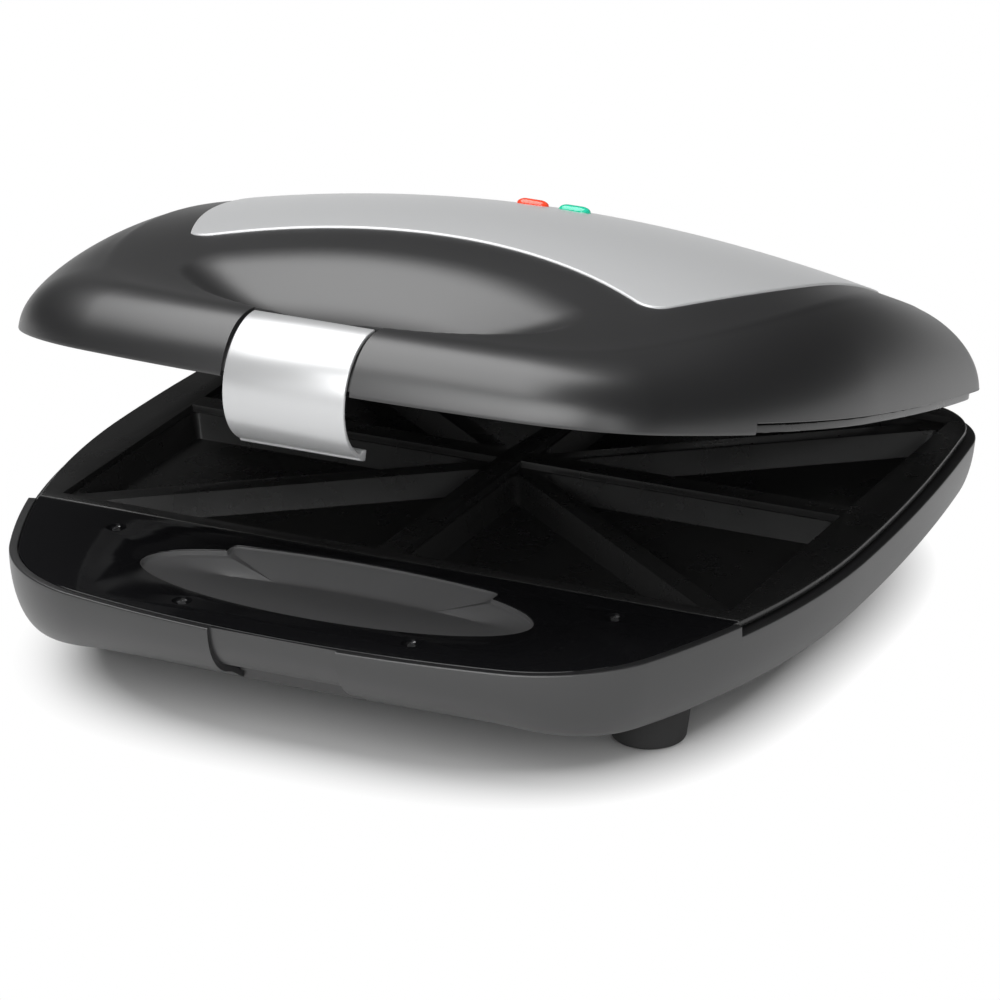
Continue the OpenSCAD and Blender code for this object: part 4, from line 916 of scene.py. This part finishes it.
for half, body, place in (("lower", "base", onBase), ("upper", "lid", turnedOver)):
    makePanel(half + "Panel", body, half + "_panel", place)
    makeTray(half + "Tray", body, half + "_recess_tray", place)
    makePlate(half + "Plate", body, half + "_plate", place)
    print(half, "panel, tray and plate made")


# Repeated pieces, grown on points: screws and feet, sizes in metres

panelScrew = {"Head Radius": 0.004, "Head Height": 0.0012, "Dome": 0.00035, "Shank Radius": 0.0016, "Length": 0.0128,
              "Cross Reach": 0.0024, "Cross Width": 0.001, "Cross Depth": 0.0008}
plateScrew = {"Head Radius": 0.0036, "Head Height": 0.0025, "Dome": 0.0005, "Shank Radius": 0.002, "Length": 0.0145,
              "Cross Reach": 0.0023, "Cross Width": 0.001, "Cross Depth": 0.0011}
footSize = {"Bottom Radius": 0.015, "Top Radius": 0.018, "Height": 0.0225, "Rounding": 0.0022}


class Growth(Nodes):
    # A geometry tree that puts one shape, built in the tree from named sizes, on every point of a mesh
    def __init__(self, name, sizes):
        self.tree = bpy.data.node_groups.new(name, "GeometryNodeTree")
        kinds = {"Geometry": "Geometry", **{size: "Float" for size in sizes}, "Seed": "Int", "Finish": "Material"}
        sockets = self.tree.interface
        sockets.new_socket(name="Geometry", in_out="OUTPUT", socket_type="NodeSocketGeometry")
        for key, kind in kinds.items():
            sockets.new_socket(name=key, in_out="INPUT", socket_type="NodeSocket" + kind)
        self.entry = self.tree.nodes.new("NodeGroupInput")
        self.leave = self.tree.nodes.new("NodeGroupOutput")

    def size(self, name): return Wire(self, self.entry.outputs[name])

    def axes(self):
        where = self.add("GeometryNodeInputPosition")
        return [self.add("ShaderNodeSeparateXYZ", {}, [where], k) for k in range(3)]

    def joinedAxes(self, x, y, z): return self.add("ShaderNodeCombineXYZ", {}, [x, y, z])

    def moved(self, mesh, x, y, z):
        return self.add("GeometryNodeSetPosition", {}, {"Geometry": mesh, "Position": self.joinedAxes(x, y, z)})

    def cylinder(self, fill, values):
        return self.add("GeometryNodeMeshCylinder", {"fill_type": fill}, values, "Mesh")

    def planted(self, shape, spin=0.0):
        # every point has the way it faces; each shape is turned about that at random, up to spin
        facing = self.add("GeometryNodeInputNamedAttribute", {"data_type": "FLOAT_VECTOR"}, {"Name": "facing"})
        up = self.add("FunctionNodeAlignRotationToVector", {"axis": "Z"}, {"Vector": facing})
        turn = self.add("FunctionNodeRandomValue", {"data_type": "FLOAT"},
                        {2: 0.0, 3: spin, "Seed": self.size("Seed")}, 1)
        own = self.add("FunctionNodeAxisAngleToRotation", {}, {"Axis": (0, 0, 1), "Angle": turn})
        rotation = self.add("FunctionNodeRotateRotation", {"rotation_space": "LOCAL"},
                            {"Rotation": up, "Rotate By": own})
        copies = self.add("GeometryNodeInstanceOnPoints", {},
                          {"Points": self.size("Geometry"), "Instance": shape, "Rotation": rotation})
        real = self.add("GeometryNodeRealizeInstances", {}, {"Geometry": copies})
        done = self.add("GeometryNodeSetMaterial", {}, {"Geometry": real, "Material": self.size("Finish")})
        self.link(done, self.leave.inputs["Geometry"])
        return self.tree


def screwTree():
    g = Growth("crossHeadScrew", panelScrew)
    r, h, dome = g.size("Head Radius"), g.size("Head Height"), g.size("Dome")
    head = {"Vertices": 48, "Side Segments": 2, "Fill Segments": 7, "Radius": r, "Depth": h}
    head = g.cylinder("TRIANGLE_FAN", head)
    x, y, z = g.axes()
    out, onTop = (x * x + y * y) / (r * r), z > 0.0
    head = g.moved(head, x, y, z - h * 0.5 - dome * out * onTop - dome * onTop * (out > 0.99) * 0.6)
    deep, reach, wide = g.size("Cross Depth"), g.size("Cross Reach"), g.size("Cross Width")
    arms = []
    for a, b in ((reach * 2.0, wide), (wide, reach * 2.0)):
        arm = g.add("GeometryNodeMeshCube", {}, {"Size": g.joinedAxes(a, b, deep * 2.0)}, "Mesh")
        x, y, z = g.axes()
        lean = 1.0 + z / (deep * 2.6)
        arms.append(g.moved(arm, x * lean, y * lean, z))
    head = g.add("GeometryNodeMeshBoolean", {"operation": "DIFFERENCE"}, {"Mesh 1": head, "Mesh 2": arms}, "Mesh")
    long = g.size("Length")
    shank = g.cylinder("NGON", {"Vertices": 20, "Radius": g.size("Shank Radius"), "Depth": long})
    x, y, z = g.axes()
    shank = g.moved(shank, x, y, z - h * 0.9 - long * 0.5)
    return g.planted(g.add("GeometryNodeJoinGeometry", {}, {0: [head, shank]}), pi / 2)


def footTree():
    g = Growth("taperedFoot", footSize)
    low, wide, tall, soft = (g.size(k) for k in footSize)
    foot = {"Vertices": 72, "Side Segments": 24, "Fill Segments": 3, "Radius": 1.0, "Depth": tall}
    foot = g.cylinder("TRIANGLE_FAN", foot)
    x, y, z = g.axes()
    up = z / tall + 0.5
    raised = up * up  # closer rings low down, where the edge is rounded
    near = (1.0 - raised * tall / soft).most(0.0)
    radius = low + (wide - low) * raised - soft * (1.0 - (1.0 - near * near).root())
    return g.planted(g.moved(foot, x * radius, y * radius, raised * tall))


def grown(tree, places, facings, sizes, look, seed):
    mesh = bpy.data.meshes.new("points")
    mesh.from_pydata([Vector(p) for p in places], [], [])
    way = mesh.attributes.new("facing", "FLOAT_VECTOR", "POINT")
    way.data.foreach_set("vector", np.asarray(facings, float).ravel())
    obj = addObject("points", mesh)
    grow = obj.modifiers.new("growth", "NODES")
    grow.node_group = tree
    keys = {item.name: item.identifier for item in tree.interface.items_tree if item.in_out == "INPUT"}
    for name, value in {**sizes, "Seed": seed, "Finish": looks[look]}.items():
        grow[keys[name]] = value
    settled(obj)
    return cleaned(obj)


def makeScrews():
    screws = screwTree()
    x, front, long = deck["plateScrewX"], deck["fieldFront"], deck["fieldLength"]
    plateAt = [(s * x, front + long * k, deck["plateScrewZ"]) for s in (-1, 1) for k in (0.25, 0.75)]
    panelAt = [(*p, deck["screwZ"]) for p in screwPlaces]
    dark, bright = (panelScrew, "darkSteel", "dark_screw"), (plateScrew, "zinc", "screw_steel")
    sets = [("panelScrews", "panel_screws", "base", onBase(panelAt), (0, 0, 1), dark, 3),
            ("upperPanelScrews", "upper_panel_screws", "lid", turnedOver(panelAt), (0, -sin(ajar), -cos(ajar)),
             dark, 5),
            ("plateScrews", "plate_screws", "base", onBase(plateAt), (0, 0, -1), bright, 7)]
    for name, node, body, at, facing, (sizes, look, slot), seed in sets:
        dressed(grown(screws, at, [facing] * len(at), sizes, look, seed), name, body, look, slot, node, sharp=40)


def makeFeet():
    at = onBase([(s * base["footX"], y, base["footZ"]) for s in (-1, 1) for y in base["footY"]])
    feet = grown(footTree(), at, [(0, 0, 1)] * len(at), footSize, "black", 1)
    dressed(feet, "feet", "base", "rubber", "foot_rubber", "feet", sharp=50)


makeScrews()
makeFeet()
print("screws and feet grown")


# The nodes that keep their own shape: the first word found in a node's name gives its look

nodeLooks = (("catch_block", "casing"), ("carrier", "casing"), ("casing", "casing"), ("foot_pads", "rubber"),
             ("element_seals", "rubber"), ("element_clamps", "zinc"), ("element", "heated"), ("heat_shield", "foil"),
             ("wiring", "sleeve"), ("thermostat", "phenolic"), ("thermal_fuse", "ceramic"), ("terminal", "ceramic"),
             ("hinge_lead", "rubber"), ("hinge_pin", "pin"), ("clip_pin", "pin"), ("clip_spring", "zinc"),
             ("pilot_lamp", "lamp"), ("screws", "zinc"))


def dressNodes():
    for name, obj in nodes.items():
        look = next((look for word, look in nodeLooks if word in name), "black")
        obj.data.materials.clear()
        obj.data.materials.append(looks[look])


dressNodes()
print("remaining nodes finished")


# Camera, floor, world and lamps

camera = {"azimuth": 25.647, "elevation": 21.451, "distance": 2.692, "target": (0, -0.0374, 0.058), "lens": 234,
          "sensor": 36, "shift": (0.0553, 0.008)}


def makeCamera():
    data = bpy.data.cameras.new("camera")
    data.lens, data.sensor_width = camera["lens"], camera["sensor"]
    data.shift_x, data.shift_y = camera["shift"]
    data.clip_start, data.clip_end = 0.05, 60
    obj = addObject("camera", data)
    a, e = radians(camera["azimuth"]), radians(camera["elevation"])
    back = Vector((sin(a) * cos(e), -cos(a) * cos(e), sin(e)))
    obj.location = Vector(camera["target"]) + back * camera["distance"]
    aimed(obj, -back)
    scene.camera = obj


def aimed(obj, way):
    obj.rotation_mode = "QUATERNION"
    obj.rotation_quaternion = way.to_track_quat("-Z", "Y")


studio = {"floorSize": 14, "floorColour": (0.66, 0.66, 0.66), "floorRough": 0.42, "floorSpecular": 0.25,
          "halfWide": 0.185, "halfDeep": 0.215, "fadeFrom": 0.42, "fadeTo": 0.80, "mirrored": 0.4,
          "worldLevel": 0.30, "horizon": 0.12, "overhead": 0.02}


def makeFloor():
    # lit and shadowed near the toaster, plain white further out
    s = studio["floorSize"] / 2
    floor = addMesh("floor", [(-s, -s, 0), (s, -s, 0), (s, s, 0), (-s, s, 0)], [(0, 1, 2, 3)])
    look = Look("whiteFloor")
    x = look.add("ShaderNodeSeparateXYZ", {}, [look.place()], 0)
    y = Wire(look, x.socket.node.outputs[1])
    outX, outY = x.most(-x) * (1 / studio["halfWide"]), y.most(-y) * (1 / studio["halfDeep"])
    far = outX * outX * outX + outY * outY * outY
    glow = ((far - studio["fadeFrom"]) / (studio["fadeTo"] - studio["fadeFrom"])).clipped()
    paint = look.add("ShaderNodeBsdfPrincipled", {}, {
        "Base Color": studio["floorColour"], "Roughness": studio["floorRough"],
        "Specular IOR Level": studio["floorSpecular"]})
    white = look.add("ShaderNodeEmission", {}, {"Color": (1, 1, 1), "Strength": 1.0})
    seen, glossy = look.rays("Is Camera Ray", "Is Glossy Ray")
    seen = seen.most(glossy * studio["mirrored"])
    look.output(look.add("ShaderNodeMixShader", {}, [glow * seen, paint, white]))
    floor.data.materials.append(look.data)


def makeWorld():
    look = Look("studio", world=True)
    seen, glossy, through = look.rays("Is Camera Ray", "Is Glossy Ray", "Is Transmission Ray")
    height = look.add("ShaderNodeSeparateXYZ", {}, [look.add("ShaderNodeTexCoord", output="Generated")], 2)
    sky = look.ramp(height, (0.0, studio["horizon"]), (0.25, studio["overhead"]))
    plain = look.mix(seen, look.mix(glossy.most(through), (studio["worldLevel"],) * 3, sky), (1, 1, 1))
    look.output(look.add("ShaderNodeBackground", {}, {"Color": plain, "Strength": 1.0}))
    scene.world = look.data


lamps = {  # place, target, size, watts
    "overheadSoftbox": ((-0.50, 0.0, 1.80), (0, 0, 0.05), (2.6, 1.8), 54),
    "frontSoftbox": ((0.45, -1.45, 0.95), (0, 0, 0.08), (1.8, 1.0), 24),
    "lowFrontSoftbox": ((-0.1, -1.9, 0.45), (0, 0, 0.06), (1.8, 0.7), 3),
    "rightStrip": ((1.8, -0.9, 0.6), (0, 0, 0.08), (0.6, 1.0), 4),
}


def makeLamps():
    for name, (place, target, (wide, high), watts) in lamps.items():
        data = bpy.data.lights.new(name, "AREA")
        data.shape, data.size, data.size_y, data.energy = "RECTANGLE", wide, high, watts
        obj = addObject(name, data)
        obj.location = place
        aimed(obj, Vector(target) - Vector(place))
        obj.visible_camera = False


makeCamera()
makeFloor()
makeWorld()
makeLamps()
scene.view_settings.view_transform = "Standard"
print("camera, floor and lamps placed")
